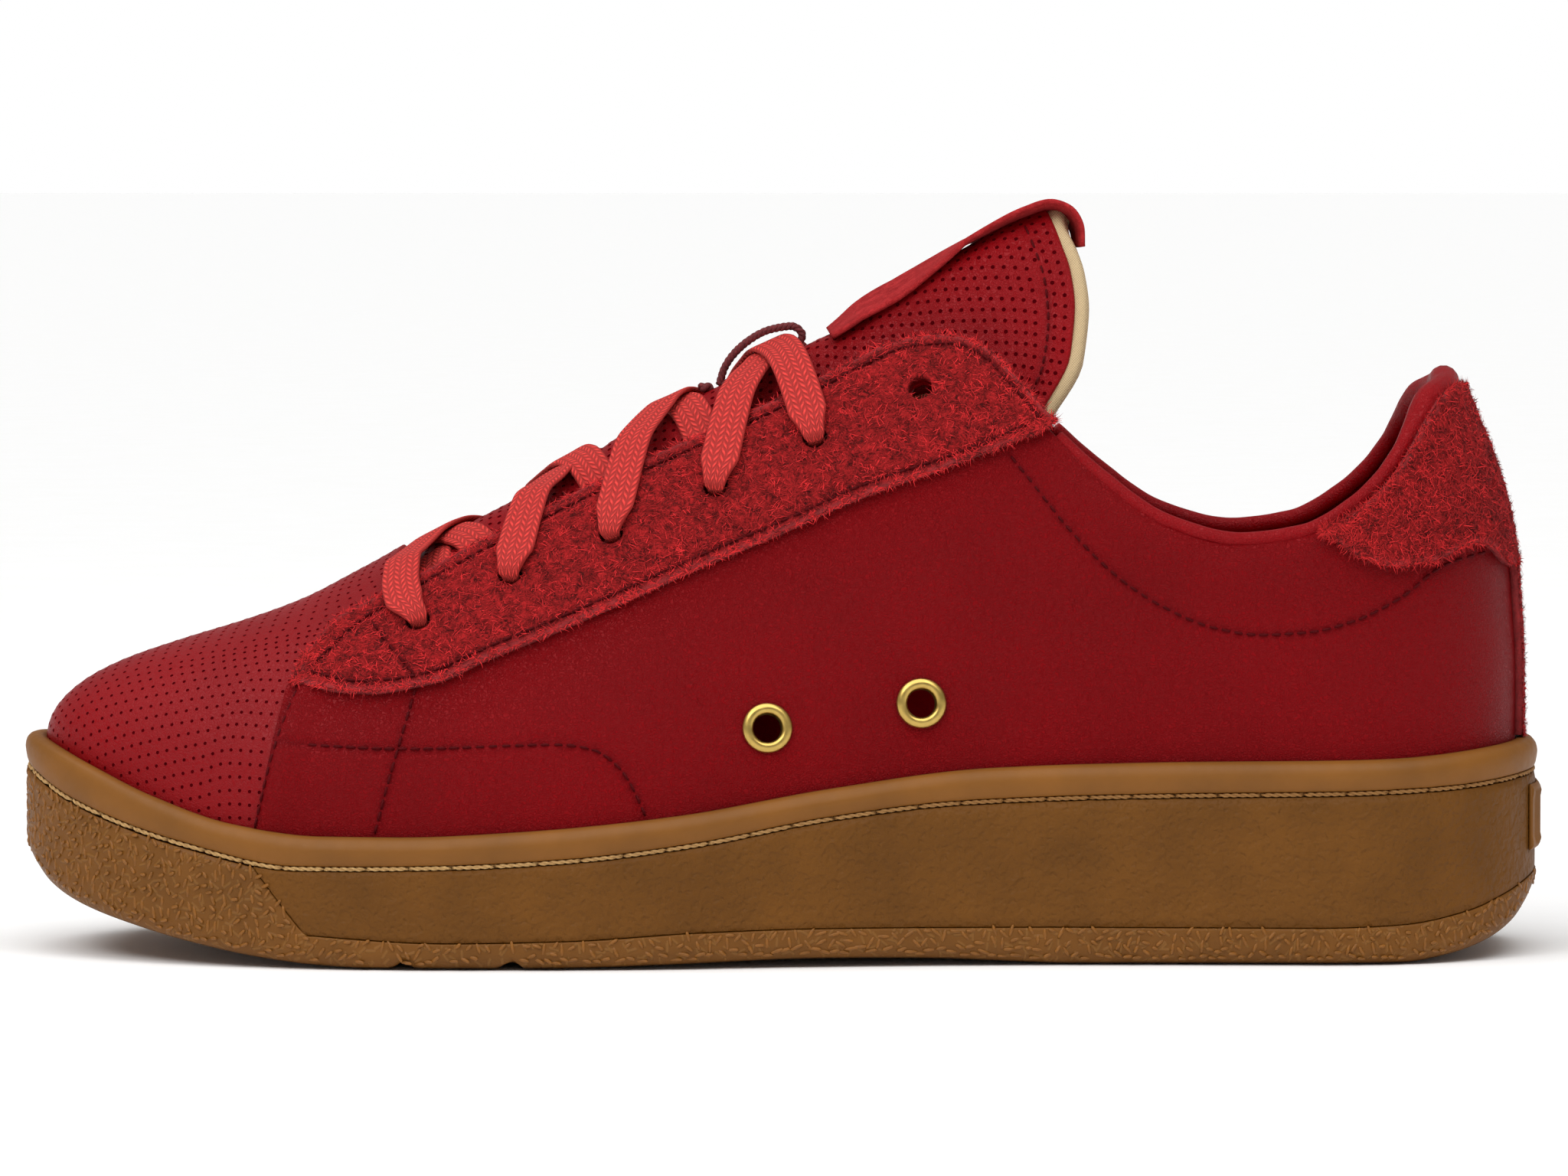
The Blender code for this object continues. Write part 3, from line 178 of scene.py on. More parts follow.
def curve(points):
    """A smooth curve through (x, value) points that never overshoots them, as a function of x."""
    xs, ys = np.array(points, float).T
    step = np.diff(xs)
    slope = np.diff(ys) / step
    tangent = np.concatenate([slope[:1], np.zeros(len(xs) - 2), slope[-1:]])
    for i in range(1, len(xs) - 1):
        if slope[i - 1] * slope[i] > 0:
            before, after = 2 * step[i] + step[i - 1], step[i] + 2 * step[i - 1]
            tangent[i] = (before + after) / (before / slope[i - 1] + after / slope[i])

    def value(x):
        x = np.clip(np.asarray(x, float), xs[0], xs[-1])
        i = np.clip(np.searchsorted(xs, x) - 1, 0, len(step) - 1)
        u = (x - xs[i]) / step[i]
        return (ys[i] * (1 + 2 * u) * (1 - u) ** 2 + ys[i + 1] * eased(u)
                + step[i] * (tangent[i] * u * (1 - u) ** 2 - tangent[i + 1] * u * u * (1 - u)))

    return value


def smooth_path(points, count):
    """Count points on a smooth curve through points of a path."""
    points = np.array(points, float)
    run = run_along(points)
    even = np.linspace(0, run[-1], count)
    return np.stack([curve(np.stack([run, column], 1))(even) for column in points.T], 1)


def spread(outline, count):
    """Count points at even distances along an outline of (x, z) points, on a smooth curve through it."""
    smooth = smooth_path(outline, 400)
    run = run_along(smooth)
    return read_at(np.linspace(0, run[-1], count), run, smooth)


# Driving curves along the shoe: half widths in plan, heights of the sole's seams, and the form of the upper.
MEDIAL_HALF = curve([(-148, 47), (-120, 50), (-62, 53), (-30, 51.5), (0, 46.5), (30, 42), (60, 39.5), (90, 39),
                     (148, 39)])
LATERAL_HALF = curve([(-148, 46), (-120, 48), (-60, 52), (-32, 53), (0, 51), (30, 47), (60, 42.5), (90, 39.5),
                      (148, 39)])
CENTRE_LINE = curve([(-148, -8), (-110, -5), (-60, -1.5), (-10, 0), (148, 0)])
SOLE_BOTTOM = curve([(-147.5, 19), (-144.5, 16), (-141.3, 13.2), (-135.3, 10.2), (-123.3, 6.6), (-111.3, 3.8),
                     (-99.3, 1.7), (-87, 0.4), (-78, 0), (-44, 0), (-21, 0.6), (8, 1.4), (28, 1.2), (46, 0.4),
                     (56, 0), (119, 0), (128, 1.2), (134.7, 3), (140.7, 6), (147, 12.5)])
OUTSOLE_RIM = curve([(-89.7, 6.3), (-63, 5.0), (-40, 5.4), (-15, 6.8), (10, 7.3), (103, 7.0), (119, 7.5),
                     (132, 9.7), (140, 12.6), (147, 16.0)])
STITCH_LINE = curve([(-147.5, 36.2), (-137, 30.4), (-113, 22.8), (-91.7, 19.0), (-63, 19.4), (-40, 20.6),
                     (-15, 23.6), (9.9, 28.2), (35.7, 31.1), (70, 32.2), (108, 32.7), (129.4, 33.5),
                     (147, 35.3)])
BAND_TOP = curve([(-147.5, 42.6), (-143.6, 41.4), (-133, 37.0), (-120, 31.6), (-103.8, 26.8), (-87, 24.9),
                  (-72, 24.9), (-48, 26), (-18.5, 28.9), (9.9, 33.7), (40, 37.4), (71.7, 38.4), (115.7, 39.0),
                  (147, 41.6)])
FOOTBED = curve([(-142, 27), (-130, 21.5), (-110, 15.5), (-90, 12.5), (-60, 11.5), (-30, 13), (0, 16.5),
                 (30, 20.5), (60, 23), (90, 24), (147, 24)])
SECTION_WIDE = curve([(-143, 2.3), (-100, 2.2), (-75, 1.9), (-40, 1.7), (143, 1.7)])
SECTION_TALL = curve([(-143, 2.2), (-100, 2.1), (-75, 1.85), (-40, 1.55), (143, 1.5)])
HEEL_LEAN = curve([(40, 0), (56, 0.1), (66, 0.6), (75, 1.2), (84, 2.6), (90, 4.2), (96.6, 6.4), (102.6, 8.9),
                   (108.6, 11.2), (116, 14.5), (126, 19)])
LEAN_START, LEAN_FULL = 70.0, 142.0


def along(x, inset=UPPER_INSET):
    """Where a station at x lies on the outline: 0 at the toe, 1 at the heel."""
    toe, heel = TOE_X + inset, HEEL_X - inset
    share = np.clip((np.asarray(x, float) - toe) / (heel - toe), 0, 1)
    return np.arccos(1 - 2 * share) / math.pi


RIDGE_POINTS = [(TOE_X + UPPER_INSET, BAND_TOP(TOE_X + UPPER_INSET)), (-140.4, 46.7), (-134.7, 51.7),
                (-128.9, 54.6), (-116.9, 58.9), (-104.9, 62.7), (-92.8, 67.0), (-80.7, 73.4), (-74.0, 77.2),
                (-60, 85.0), (-45, 93.4), (-27, 104.3), (-21, 107.4), (10, 121.7), (26.7, 130.6), (38.7, 137.6),
                (53.6, 146.6), (75, 162), (105, 182), (HEEL_X - UPPER_INSET, 200)]
RIDGE = curve([(float(along(x)), float(z)) for x, z in RIDGE_POINTS])


def plan(t, side, inset=0.0):
    """Point (x, y) on the sole's outline at station t, drawn in towards the middle by an inset."""
    toe, heel = TOE_X + inset, HEEL_X - inset
    x = toe + (heel - toe) * (1 - np.cos(math.pi * np.asarray(t, float))) / 2
    side = np.asarray(side, float)
    full = np.where(side < 0, MEDIAL_HALF(x), LATERAL_HALF(x)) - inset
    centre = CENTRE_LINE(x)
    into_toe = np.clip(1 - (x - toe) / (TOE_ROUND - inset), 0, 1)
    into_heel = np.clip(1 - (heel - x) / (HEEL_ROUND - inset), 0, 1)
    narrow = (1 - into_toe ** TOE_POWER) ** (1 / TOE_POWER) * (1 - into_heel ** HEEL_POWER) ** (1 / HEEL_POWER)
    return x, centre + side * (full - side * centre) * narrow


def form(t, side, q):
    """The last's surface: q is 0 at the top of the foxing band, 1 on the ridge, and below 0 in the cup."""
    x, rim = plan(t, side, UPPER_INSET)
    centre, low = CENTRE_LINE(x), BAND_TOP(x)
    angle = np.clip(q, 0, 1) * math.pi / 2
    across = np.abs(np.cos(angle)) ** (2 / SECTION_WIDE(x))
    up = np.sin(angle) ** (2 / SECTION_TALL(x))
    z = low + np.maximum(RIDGE(t) - low, 0) * up + np.minimum(q, 0) * SKIRT
    share = np.clip((x - LEAN_START) / (LEAN_FULL - LEAN_START), 0, 1)
    lean = HEEL_LEAN(z) * eased(share)
    return np.stack([x - lean, centre + (rim - centre) * across, z + 0 * x], -1)


def surface(t, side, q, offset=0.0):
    """Points on the last's surface, moved outwards by an offset."""
    t, side, q, offset = np.broadcast_arrays(*(np.asarray(v, float) for v in (t, side, q, offset)))
    step = 1e-3
    t_in, q_in = np.clip(t, 2 * step, 1 - 2 * step), np.minimum(q, 1 - 2 * step)
    along_t = form(t_in + step, side, q_in) - form(t_in - step, side, q_in)
    along_q = form(t_in, side, q_in + step) - form(t_in, side, q_in - step)
    normal = np.cross(along_t, along_q) * -side[..., None]
    middle = (q > 0.999) | (t < step) | (t > 1 - step)
    normal[..., 1] = np.where(middle, 0, normal[..., 1])
    return form(t, side, q) + unit(normal) * offset[..., None]


def height(t, z):
    """The q at which a station of the surface stands at height z."""
    x = plan(t, MEDIAL, UPPER_INSET)[0]
    low = BAND_TOP(x)
    share = np.clip((z - low) / np.maximum(RIDGE(t) - low, 0.01), 0, 1)
    return np.where(z < low, (z - low) / SKIRT, np.arcsin(share ** (SECTION_TALL(x) / 2)) * 2 / math.pi)


def locate(outline, side, offset=0.0):
    """Stations (t, q) of the points that lie at (x, z) in side view, on the surface moved by the offset."""
    target = np.array(outline, float)
    guess = target.copy()
    for _ in range(12):
        t = along(guess[:, 0])
        q = height(t, guess[:, 1])
        found = surface(t, side, q, offset)
        guess = guess + (target - found[:, [0, 2]]) * 0.8
    return t, q


def shifted(level, by):
    """A curve raised by a distance."""
    return lambda x: level(x) + by


def outsole_top(x):
    """The outsole's rim: low along the wall, and up to the seam where it wraps the toe."""
    wrap = np.clip((WRAP_START_X + WRAP_RUN - x) / WRAP_RUN, 0, 1)
    return OUTSOLE_RIM(x) * (1 - wrap) + (STITCH_LINE(x) - GROOVE_HALF) * wrap


def resample(values, at, axis):
    """Reads a grid of values at fractional rows or columns, on smooth curves through it."""
    values = np.moveaxis(np.asarray(values, float), axis, 0)
    places = np.arange(len(values))
    columns = [curve(np.stack([places, column], 1))(at) for column in values.reshape(len(values), -1).T]
    fine = np.stack(columns, 1).reshape(len(at), *values.shape[1:])
    return np.moveaxis(fine, 0, axis)


def fine_steps(count, many):
    """Fractional places in a grid of count lines: close together at both ends, for a rounded edge."""
    near = np.array([0, 0.012, 0.035, 0.08, 0.16])
    last = count - 1
    return np.concatenate([near, np.linspace(0.3, last - 0.3, many), (last - near)[::-1]])


def refine(grids, rows, columns):
    """Reads the (t, q) grids of a panel more finely."""
    return [resample(resample(g, fine_steps(g.shape[0], rows), 0), fine_steps(g.shape[1], columns), 1)
            for g in grids]


def both_sides(medial, lateral):
    """Joins the columns of a medial and a lateral half that meet in the middle."""
    (t_m, q_m), (t_l, q_l) = medial, lateral
    t = np.concatenate([t_m, t_l[:, -2::-1]], 1)
    q = np.concatenate([q_m, q_l[:, -2::-1]], 1)
    side = np.where(np.arange(t.shape[1]) < t_m.shape[1], MEDIAL, LATERAL)
    return t, np.repeat(side[None, :], len(t), 0), q


def border_distance(points):
    """How far each point of a grid lies from the grid's nearest edge, in millimetres."""
    down, over = run_along(points), run_along(points, 1)
    return np.minimum.reduce([down, down[-1:] - down, over, over[:, -1:] - over])


# ---------------------------------------------------------------- meshes

def deselect():
    """Leaves nothing selected or active."""
    for other in bpy.context.selected_objects:
        other.select_set(False)
    bpy.context.view_layer.objects.active = None


def add_piece(name, mesh, materials, body, nodes=(), smooth=True):
    """A piece from a mesh: it rides on a body, stands for CAD nodes and takes a slot's finish."""
    if smooth:
        mesh.shade_smooth()
    for material in materials:
        mesh.materials.append(material)
    made = bpy.data.objects.new(name, mesh)
    bpy.context.scene.collection.objects.link(made)
    if body:
        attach(made, body)
    if nodes:
        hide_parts(*nodes)
    return made


def quads(rows, columns, first=0, wrap=False):
    """Faces of a grid of vertices that starts at number first."""
    a = first + np.arange(rows * columns).reshape(rows, columns)
    b = np.roll(a, -1, 1)
    last = columns if wrap else columns - 1
    faces = np.stack([a[:-1, :last], b[:-1, :last], b[1:, :last], a[1:, :last]], -1)
    return faces.reshape(-1, 4)


def raw_mesh(name, vertices, faces, uv=None, marks=None, kinds=None):
    """A mesh from arrays in millimetres; uv and marks hold one value for each vertex, kinds one for each face."""
    mesh = bpy.data.meshes.new(name)
    mesh.from_pydata((np.asarray(vertices) * MM).tolist(), [], [list(map(int, face)) for face in faces])
    corner = np.zeros(len(mesh.loops), np.int32)
    mesh.loops.foreach_get("vertex_index", corner)
    if uv is not None:
        layer = mesh.uv_layers.new(name="UVMap")
        layer.data.foreach_set("uv", (np.asarray(uv) * MM)[corner].astype(np.float32).ravel())
    for word, values in (marks or {}).items():
        mark = mesh.attributes.new(word, "FLOAT", "POINT")
        mark.data.foreach_set("value", np.asarray(values, np.float32))
    if kinds is not None:
        mesh.polygons.foreach_set("material_index", np.asarray(kinds, np.int32))
    return mesh


def face_out(mesh, merge=True):
    """Turns a closed mesh's faces outwards, after merging what meets."""
    bm = bmesh.new()
    bm.from_mesh(mesh)
    if merge:
        bmesh.ops.remove_doubles(bm, verts=bm.verts, dist=5e-7)
        bmesh.ops.dissolve_degenerate(bm, edges=bm.edges, dist=2e-7)
    bmesh.ops.recalc_face_normals(bm, faces=bm.faces)
    bm.to_mesh(mesh)
    bm.free()


def shell(name, outer, inner, materials, body, nodes=(), marks=None):
    """A closed piece between an outer and an inner grid of points."""
    rows, columns = outer.shape[:2]
    count = rows * columns
    index = np.arange(count).reshape(rows, columns)
    ring = np.concatenate([index[0, :-1], index[:-1, -1], index[-1, :0:-1], index[:0:-1, 0]])
    after = np.roll(ring, -1)
    rim = np.stack([ring, after, after + count, ring + count], 1)
    faces = np.concatenate([quads(rows, columns), quads(rows, columns, count)[:, ::-1], rim])
    both = np.concatenate([outer.reshape(-1, 3), inner.reshape(-1, 3)])
    doubled = {word: np.tile(np.asarray(v).ravel(), 2) for word, v in (marks or {}).items()}
    mesh = raw_mesh(name, both, faces, marks=doubled)
    face_out(mesh)
    return add_piece(name, mesh, materials, body, nodes)


def rounded(distance, radius):
    """How far a face drops at a distance from a rounded edge."""
    near = np.clip(radius - distance, 0, radius)
    return radius - np.sqrt(radius ** 2 - near ** 2)


def seam_closeness(points, seams, reach):
    """1 on a seam and fading away from it, for every point."""
    if not len(seams):
        return np.zeros(len(points))
    tree = KDTree(len(seams))
    for i, place in enumerate(seams):
        tree.insert(place, i)
    tree.balance()
    far = np.array([tree.find(place)[2] for place in points])
    return np.exp(-(far / reach) ** 2)


def panel(name, t, side, q, layer, materials, nodes, seams=(), sink=0.3, holes=(), waves=None,
          lift=0.0):
    """A panel of leather with rounded edges, drawn in along its seams and opened at its holes.

    lift raises it, as where it overlaps other leather. Gives the piece and its two faces' points."""
    base = surface(t, side, q, layer[1])
    close = seam_closeness(base.reshape(-1, 3), seams, 0.6).reshape(t.shape)
    from_edge = border_distance(base)
    outer_offset = layer[1] - rounded(from_edge, PANEL_EDGE) - sink * close + 0.95 * lift
    if waves is not None:
        outer_offset = outer_offset + waves(base)
    outer = surface(t, side, q, outer_offset)
    inner = surface(t, side, q, layer[0] + 0.02 + (LEATHER[1] - layer[0]) * lift)
    marks = {"seam": close, "rim": np.exp(-(from_edge / 0.9) ** 2)}
    made = shell(name, outer, inner, materials, "shoe", nodes, marks=marks)
    if len(holes):
        subtract(made, pins(holes, EYELET_RADIUS))
    return made, outer, inner


def pins(places, radius, sides=20):
    """Round cutters through the upper, added as cylinders along each hole's direction and joined."""
    deselect()
    for centre, normal in places:
        turn = Vector(normal).to_track_quat("Z", "Y").to_euler()
        bpy.ops.mesh.primitive_cylinder_add(vertices=sides, radius=radius * MM, depth=14 * MM,
                                            location=[c * MM for c in centre], rotation=turn)
        bpy.context.object.name = "hole_pin"
    for other in bpy.data.objects:
        if other.name.startswith("hole_pin"):
            other.select_set(True)
    bpy.ops.object.join()
    made = bpy.context.object
    deselect()
    return made


def subtract(piece, tool):
    """Cuts a tool out of a piece and applies the cut."""
    cut = piece.modifiers.new("holes", "BOOLEAN")
    cut.operation = "DIFFERENCE"
    cut.solver = "EXACT"
    cut.object = tool
    deselect()
    piece.select_set(True)
    bpy.context.view_layer.objects.active = piece
    bpy.ops.object.modifier_apply(modifier=cut.name)
    bpy.data.objects.remove(tool, do_unlink=True)
    deselect()


def sweep(paths, radii, sides=6):
    """Round cords along paths of points: vertices, faces and the distance run along each."""
    vertices, faces, uv = [], [], []
    for path, radius in zip(paths, radii):
        path = np.asarray(path, float)
        radius = np.broadcast_to(radius, len(path))
        heading = headings(path)
        normal = unit(np.cross(heading[0], (0.3, 0.5, 0.8)))
        frames = []
        for h in heading:
            normal = unit(normal - h * np.dot(normal, h))
            frames.append((normal, np.cross(h, normal)))
        angles = np.arange(sides) * 2 * math.pi / sides
        ring = np.array([[n * math.cos(a) + b * math.sin(a) for a in angles] for n, b in frames])
        points = path[:, None] + ring * radius[:, None, None]
        start = len(vertices)
        vertices += points.reshape(-1, 3).tolist()
        uv += [(r, a) for r in run_along(path) for a in angles]
        faces += quads(len(path), sides, start, wrap=True).tolist()
        faces.append(list(range(start, start + sides))[::-1])
        faces.append(list(range(start + (len(path) - 1) * sides, start + len(path) * sides)))
    return vertices, faces, uv


def cords(name, paths, radii, material, body, nodes=(), sides=6):
    """A piece of round cords along paths: one radius, or one for each point, for every path."""
    vertices, faces, uv = sweep(paths, radii, sides)
    mesh = raw_mesh(name, vertices, faces, uv)
    face_out(mesh, merge=False)
    return add_piece(name, mesh, [material], body, nodes)


def seam_points(outline, side, offset):
    """Points and outward directions along a side-view line on the upper, every quarter of a stitch."""
    pitch = sizes().seam_stitch / MM
    count = int(run_along(np.array(outline))[-1] / pitch) * 4 + 1
    t, q = locate(spread(outline, count), side, offset)
    low = surface(t, side, q, offset)
    return low, surface(t, side, q, offset + 1) - low


def stitch_paths(points, normals, lift=0.1, sink=0.55):
    """One short path for each stitch along a line: its ends go down into the leather."""
    paths = []
    for i in range(0, len(points) - 4, 4):
        span = np.linspace(0.45, 3.55, 5)
        place = np.array([points[i] + (points[i + 4] - points[i]) * s / 4 for s in span])
        place += (points[i + 2] - (points[i] + points[i + 4]) / 2) * np.sin(span * math.pi / 4)[:, None]
        level = np.array([-sink, lift * 0.6, lift, lift * 0.6, -sink])
        paths.append(place + normals[i + 2] * level[:, None])
    return paths


def nap(name, t, side, q, offset, count, length, hair, lie=0.26, seed=1, fringe=0.16, avoid=(), seams=()):
    """Loose fibres of a long-haired suede, as thin bent blades over a panel and standing out along its edges."""
    draw = np.random.default_rng(seed)
    rows, columns = t.shape
    u, v = draw.random(count) * (rows - 1), draw.random(count) * (columns - 1)
    at_edge = draw.random(count) < fringe
    pick = draw.integers(0, 4, count)
    u = np.where(at_edge & (pick == 0), 0.02, np.where(at_edge & (pick == 1), rows - 1.02, u))
    v = np.where(at_edge & (pick == 2), 0.02, np.where(at_edge & (pick == 3), columns - 1.02, v))
    i, j = u.astype(int), v.astype(int)
    fu, fv = u - i, v - j

    def read(grid):
        return ((grid[i, j] * (1 - fu) + grid[i + 1, j] * fu) * (1 - fv)
                + (grid[i, j + 1] * (1 - fu) + grid[i + 1, j + 1] * fu) * fv)

    tt, qq, ss = read(t), read(q), np.where(read(side) < 0, MEDIAL, LATERAL)
    root = surface(tt, ss, qq, offset - 0.12)
    keep = np.ones(count, bool)
    for centre in avoid:
        keep &= np.linalg.norm(root - centre, axis=1) > EYELET_RADIUS + 0.6
    if len(seams):
        keep &= seam_closeness(root, seams, 0.5) < 0.35
    tt, qq, ss, root, at_edge = tt[keep], qq[keep], ss[keep], root[keep], at_edge[keep]
    count = len(root)
    out = surface(tt, ss, qq, offset + 0.88) - root
    angle = draw.random(count) * 2 * math.pi
    first = unit(np.cross(out, (0, 0, 1.0)))
    second = np.cross(out, first)
    way = first * np.cos(angle)[:, None] + second * np.sin(angle)[:, None]
    turn = np.cross(out, way)
    reach = length * (0.45 + draw.random(count) ** 2) * np.where(at_edge, 0.65, 1.0)
    rise = reach * lie * (0.15 + draw.random(count)) * np.where(at_edge, 1.3, 1.0)
    bend = (draw.random(count) - 0.5) * reach * 0.7
    width = 0.09 + 0.09 * draw.random(count)
    shade = draw.random(count)
    points = []
    for step, spread_by in ((0.0, 1.0), (0.5, 0.9), (1.0, 0.25)):
        middle = (root + way * (reach * step)[:, None] + turn * (bend * step ** 2)[:, None]
                  + out * (rise * (1.6 * step - 0.6 * step ** 2))[:, None])
        for sign in (-1, 1):
            points.append(middle + turn * (width * spread_by / 2 * sign)[:, None])
    vertices = np.stack(points, 1).reshape(-1, 3)
    first_of = np.arange(count)[:, None] * 6
    faces = np.concatenate([first_of + [0, 1, 3, 2], first_of + [2, 3, 5, 4]])
    mesh = raw_mesh(name, vertices, faces, marks={"shade": np.repeat(shade, 6)})
    return add_piece(name, mesh, [hair], "shoe", (), smooth=False)


def perforations(name, places, normals, materials, radius, blend=None):
    """Punched holes, laid on the leather: a raised lip, a dark floor of painted shade where the hole's inside would
    be, and eight sides each.
    """
    normals = unit(normals)
    first = unit(np.cross(normals, (0.2, 1.0, 0.1)))
    second = np.cross(normals, first)
    rings = []
    for wide, up in ((1.75, -0.05), (1.3, 0.055), (1.0, 0.02)):
        for k in range(8):
            a = k * math.pi / 4
            rings.append(places + (first * math.cos(a) + second * math.sin(a)) * radius * wide + normals * up)
    rings.append(places + normals * 0.015)
    vertices = np.stack(rings, 1).reshape(-1, 3)
    faces, kinds = [], []
    for n in range(len(places)):
        base = n * 25
        # Faces of kind 1, the inner ring and the floor, take the painted hole shade.
        for ring in (0, 8):
            for k in range(8):
                m = (k + 1) % 8
                faces.append([base + ring + k, base + ring + m, base + ring + 8 + m, base + ring + 8 + k])
                kinds.append(0 if ring == 0 else 1)
        for k in range(8):
            faces.append([base + 16 + k, base + 16 + (k + 1) % 8, base + 24])
            kinds.append(1)
    mesh = raw_mesh(name, vertices, faces, kinds=kinds)
    made = add_piece(name, mesh, materials, None if blend else "shoe", ())
    if blend:
        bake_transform(made)
    return made


def even_rows(outer, inner, pitch, row_pitch, margin):
    """Places in staggered rows over a fine grid of points, and their outward directions."""
    middle = run_along(outer)[:, outer.shape[1] // 4]
    facing = np.cross(np.gradient(outer, axis=0), np.gradient(outer, axis=1))
    facing /= np.linalg.norm(facing, axis=2, keepdims=True) + 1e-9
    facing *= np.sign((facing * (outer - inner)).sum(-1, keepdims=True))
    found, normals = [], []
    for n, at in enumerate(np.interp(np.arange(margin, middle[-1] - margin, row_pitch), middle,
                                     np.arange(len(middle)))):
        i = min(int(at), len(outer) - 2)
        f = at - i
        line = outer[i] * (1 - f) + outer[i + 1] * f
        away = facing[i] * (1 - f) + facing[i + 1] * f
        run = run_along(line)
        spots = run[len(run) // 2] + (np.arange(-400, 400) + 0.5 * (n % 2)) * pitch
        spots = spots[(spots > margin) & (spots < run[-1] - margin)]
        found.append(read_at(spots, run, line))
        normals.append(read_at(spots, run, away))
    return np.concatenate(found), np.concatenate(normals)


def grains(name, places, normals, turns, lengths, wide, tall, material, nodes=()):
    """Short raised rods on a surface: each a low dome with its own turn and length."""
    normals = unit(normals)
    level = unit(np.cross(normals, (0, 0, 1.0)))
    upright = np.cross(normals, level)
    along_rod = level * np.cos(turns)[:, None] + upright * np.sin(turns)[:, None]
    over_rod = np.cross(normals, along_rod)
    parts = [places - along_rod * lengths[:, None] / 2]
    for share, size in ((-0.36, 0.75), (0.0, 1.0), (0.36, 0.75)):
        for k in range(6):
            a = k * math.pi / 3
            parts.append(places + along_rod * (lengths * share)[:, None]
                         + over_rod * (wide / 2 * size * math.cos(a)) + normals * (tall * size * math.sin(a)))
    parts.append(places + along_rod * lengths[:, None] / 2)
    vertices = np.stack(parts, 1).reshape(-1, 3)
    faces = []
    for k in range(6):
        m = (k + 1) % 6
        faces += [[0, 1 + m, 1 + k], [1 + k, 1 + m, 7 + m, 7 + k], [7 + k, 7 + m, 13 + m, 13 + k],
                  [13 + k, 13 + m, 19]]
    first = (np.arange(len(places)) * 20)[:, None].tolist()
    every = [[start[0] + corner for corner in face] for start in first for face in faces]
    mesh = raw_mesh(name, vertices, every)
    face_out(mesh)
    return add_piece(name, mesh, [material], "shoe", nodes)


# ---------------------------------------------------------------- finishes

def linear(hex_colour):
    """Linear colour of an sRGB hex value."""
    channels = [int(hex_colour[i:i + 2], 16) / 255 for i in (1, 3, 5)]
    return (*[c / 12.92 if c <= 0.04045 else ((c + 0.055) / 1.055) ** 2.4 for c in channels], 1.0)


def tones(colour, low, high):
    """A property's colour, made darker or lighter by two factors."""
    return [(*[channel * factor for channel in colour], 1.0) for factor in (low, high)]


def feed(tree, socket, value):
    """Feeds a socket with a value, a hex colour, a node (its first output) or a (node, output) pair."""
    if isinstance(value, bpy.types.Node):
        value = (value, 0)
    if isinstance(value, tuple) and isinstance(value[0], bpy.types.Node):
        tree.links.new(value[0].outputs[value[1]], socket)
    else:
        socket.default_value = linear(value) if isinstance(value, str) else value


def node(tree, kind, inputs=None, **settings):
    """Adds a node with its settings and inputs."""
    made = tree.nodes.new("ShaderNode" + kind)
    for key, value in settings.items():
        setattr(made, key, value)
    for key, value in (inputs or {}).items():
        feed(tree, made.inputs[key], value)
    return made


def scale(millimetres):
    """A texture's scale for a pattern of this size."""
    return 1 / (millimetres * MM)


def noise(tree, where, size, detail, **inputs):
    return node(tree, "TexNoise", {"Vector": where, "Scale": scale(size), "Detail": detail, **inputs})


def reckon(tree, operation, *values):
    return node(tree, "Math", dict(enumerate(values)), operation=operation)


def mix(tree, share, first, second, **settings):
    """The colour at a share of the way from the first to the second."""
    return node(tree, "Mix", {0: share, 6: first, 7: second}, data_type="RGBA", **settings), 2


def levels(tree, value, low, high, to_low=0.0, to_high=1.0):
    """A value carried from one range to another."""
    return node(tree, "MapRange", {"Value": value, "From Min": low, "From Max": high, "To Min": to_low,
                                   "To Max": to_high})


def mark(tree, word):
    """A value that the mesh holds for each point."""
    return node(tree, "Attribute", attribute_name=word), "Fac"


def bump(tree, height, strength, millimetres, under=None):
    """Relief of a height, over the relief under it."""
    inputs = {"Height": height, "Strength": strength, "Distance": millimetres * MM}
    return node(tree, "Bump", inputs if under is None else {**inputs, "Normal": under})


def finish(name, roughness, specular, build, metallic=0.0):
    """A material: build adds its nodes and returns the inputs that they drive."""
    made = bpy.data.materials.new(name)
    made.use_nodes = True
    tree = made.node_tree
    inputs = tree.nodes["Principled BSDF"].inputs
    fixed = {"Roughness": roughness, "Specular IOR Level": specular, "Metallic": metallic}
    driven = build(tree, node(tree, "TexCoord"))
    for key, value in {**fixed, **driven}.items():
        feed(tree, inputs[key], value)
    return made


def leather_nodes(dark, light, grain, strength, tone=0.5):
    """Drum-dyed calf: fine wrinkles between soft cells, slow changes of tone, and painted shade along the sunk
    seams.
    """
    def build(tree, place):
        where = (place, "Object")
        broad, fine = noise(tree, where, 28, 3.0), noise(tree, where, 1.1, 4.0)
        bent = mix(tree, 0.0016, where, (fine, "Color"), blend_type="LINEAR_LIGHT")
        cells = node(tree, "TexVoronoi", {"Vector": bent, "Scale": scale(grain)}, feature="DISTANCE_TO_EDGE")
        colour = mix(tree, levels(tree, broad, 0.3, 0.7, tone - 0.3, tone + 0.3), dark, light)
        # Painted shade: the colour darkens towards #4a0008 along the seams, where the leather is drawn in.
        seam_shade = reckon(tree, "MULTIPLY", mark(tree, "seam"), 0.35)
        wrinkle = bump(tree, levels(tree, (cells, "Distance"), 0.0, 0.22), strength, 0.12)
        relief = bump(tree, fine, 0.25, 0.2, wrinkle)
        return {"Base Color": mix(tree, seam_shade, colour, "#4a0008"),
                "Roughness": levels(tree, fine, 0.0, 1.0, 0.34, 0.5),
                "Normal": bump(tree, broad, 0.5, 1.2, relief)}
    return build


